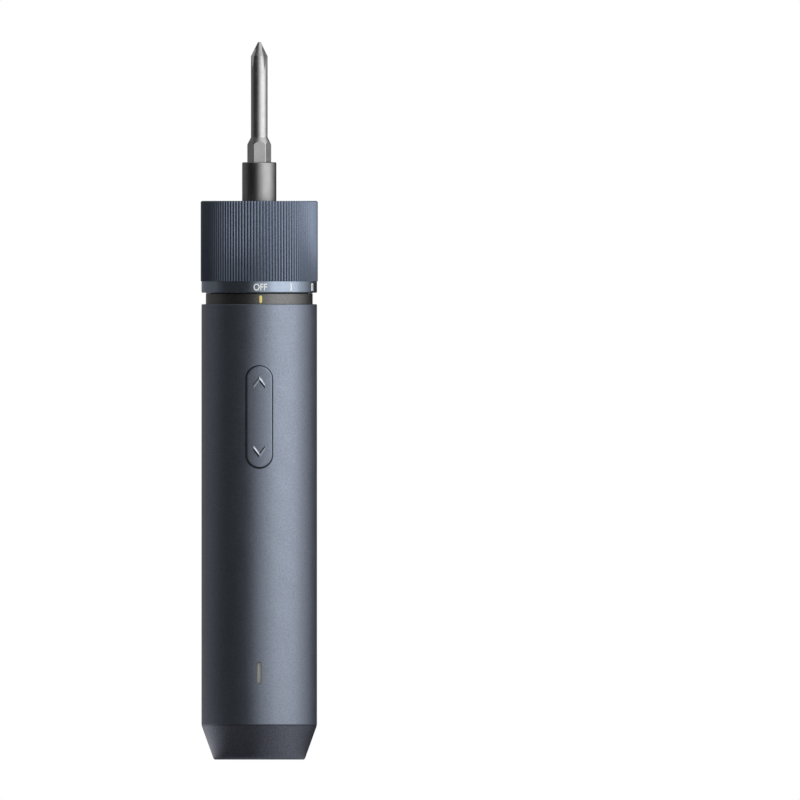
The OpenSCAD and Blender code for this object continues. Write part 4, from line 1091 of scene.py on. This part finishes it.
def make_chuck():
    """The dark steel nose with its hexagon socket and a lead-in cone."""
    radius = chuck_high.x
    journal = radius - JOURNAL_STEP
    socket_low = bit_low.z - SOCKET_FLOOR_GAP
    rim = arc(radius - CHUCK_EDGE, chuck_high.z - CHUCK_EDGE, CHUCK_EDGE, 0, 90)
    lead = hex_corner(HEX_AF) + LEAD_OUT
    lead_low = chuck_high.z - LEAD_DEEP
    profile = [
        (0, STUB_TOP_Z), (STUB_BORE_R, STUB_TOP_Z), (STUB_BORE_R, chuck_low.z),
        (journal, chuck_low.z), (journal, collar_high.z),
        (radius, collar_high.z + JOURNAL_RISE), *rim, (lead, chuck_high.z),
        (lead - LEAD_DEEP, lead_low), (0, lead_low),
    ]
    chuck = turned("chuck_sleeve", profile, CHUCK_STEPS)
    socket = hex_bar("socket_cut", HEX_AF + 2 * HEX_PLAY, socket_low, chuck_high.z + MM)
    combine(chuck, socket, "DIFFERENCE")
    magnet_low, magnet_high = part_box("bit_magnet")
    pocket_r = magnet_high.x + MAGNET_PLAY
    pocket = turned("pocket_cut", [
        (0, magnet_low.z), (pocket_r, magnet_low.z), (pocket_r, socket_low + MM),
        (0, socket_low + MM),
    ], CHUCK_STEPS // 2)
    combine(chuck, pocket, "DIFFERENCE")
    soften(chuck, SOCKET_EDGE)
    dress(chuck, "spindle", "chuck_steel", finishes["chuck_steel"], "chuck")


def flute_cut(turn):
    """The cutter of one flute: a V with a round root, whose root runs in towards the point."""
    lean = math.degrees(math.atan(FLUTE_SPREAD))
    root = arc(FLUTE_ROOT_R, 0, FLUTE_ROOT_R, 90 + lean, 270 - lean, 4)
    side = FLUTE_SPREAD * FLUTE_DEEP
    outline = [*root, (FLUTE_DEEP, -side), (FLUTE_DEEP, side)]
    bm = bmesh.new()
    height, reach = FLUTE_PATH[0]
    foot = bit_high.z - FLUTE_LEN
    face = bm.faces.new([bm.verts.new((reach + x, y, foot + height)) for x, y in outline])
    for next_height, next_reach in FLUTE_PATH[1:]:
        drawn = bmesh.ops.extrude_face_region(bm, geom=[face])["geom"]
        moved = [g for g in drawn if isinstance(g, bmesh.types.BMVert)]
        bmesh.ops.translate(bm, verts=moved, vec=(next_reach - reach, 0, next_height - height))
        if height > FLUTE_PATH[0][0]:
            bmesh.ops.delete(bm, geom=[face], context="FACES_ONLY")
        face = [g for g in drawn if isinstance(g, bmesh.types.BMFace)][0]
        height, reach = next_height, next_reach
    bm.transform(Matrix.Rotation(math.radians(turn), 4, "Z"))
    return mesh_object("flute_cut", bm, smooth=False)


def make_bit():
    """The bit: hexagon shank with turned shoulders, round shaft and cross point."""
    hex_top = chuck_high.z + HEX_OUT
    corner = hex_corner(HEX_AF) - HEX_ROUND
    profile = [
        (0, bit_low.z), (corner - SHANK_CHAMFER, bit_low.z), (corner, bit_low.z + SHANK_CHAMFER),
        (corner, hex_top), (BIT_R, hex_top + HEX_TAPER),
        (BIT_R, bit_high.z - FLUTE_LEN - RUN_OUT), (BIT_R, bit_high.z - TIP_LEN),
        *arc(0, bit_high.z - TIP_R, TIP_R, TIP_SLOPE, 90, 5),
    ]
    bit = turned("bit_cross", profile, BIT_STEPS)
    shank = hex_bar("shank", HEX_AF, bit_low.z, hex_top + HEX_TAPER * 0.9)
    shaft_r = BIT_R + SHAFT_ROOM
    shaft = turned("shaft", [
        (0, hex_top), (shaft_r, hex_top), (shaft_r, bit_high.z + MM), (0, bit_high.z + MM),
    ], 2 * BIT_STEPS)
    combine(shank, shaft, "UNION")
    combine(bit, shank, "INTERSECT")
    for quarter in range(4):
        combine(bit, flute_cut(FLUTE_TURN + 90 * quarter - 90), "DIFFERENCE")
    soften(bit, BIT_EDGE, angle=BIT_EDGE_ANGLE)
    dress(bit, "bit", "bit_steel", finishes["bit_steel"], "bit")


# Clutch spring
SPRING_WIRE_R = 0.8 * MM
SPRING_TURNS = 5
TURN_STEPS = 48
WIRE_SIDES = 16


def make_clutch_spring():
    """The spring as one wire, wound at one length; in the tool the seat presses it together as the
    collar turns.
    """
    low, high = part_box("clutch_spring")
    coil_r = high.x - SPRING_WIRE_R
    rise = high.z - low.z - 2 * SPRING_WIRE_R
    steps = TURN_STEPS * SPRING_TURNS
    start = Matrix.Translation((coil_r, 0, low.z + SPRING_WIRE_R))
    bm = bmesh.new()
    bmesh.ops.create_circle(
        bm, cap_ends=True, segments=WIRE_SIDES, radius=SPRING_WIRE_R,
        matrix=start @ Matrix.Rotation(math.pi / 2, 4, "X"),
    )
    bmesh.ops.spin(
        bm, geom=bm.verts[:] + bm.edges[:] + bm.faces[:], cent=(0, 0, 0), axis=(0, 0, 1),
        dvec=(0, 0, rise / steps), angle=math.tau * SPRING_TURNS, steps=steps,
    )
    spring = mesh_object("clutch_coil", bm)
    spring.data.set_sharp_from_angle(angle=math.radians(40))
    dress(spring, "handle", "spring_steel", finishes["spring_steel"], "clutch_spring")
    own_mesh(spring)


finishes = finish_cad_nodes()
finishes["print_white"] = print_white()
finishes["chevron_edge"] = chevron_edge()
set_camera()
set_world()
set_lights()
set_stage()
make_button()
make_chevron(1)
make_chevron(-1)
make_marks()
make_body()
make_status_light()
make_scale_ring()
make_collar()
make_index_mark()
make_chuck()
make_bit()
make_clutch_spring()
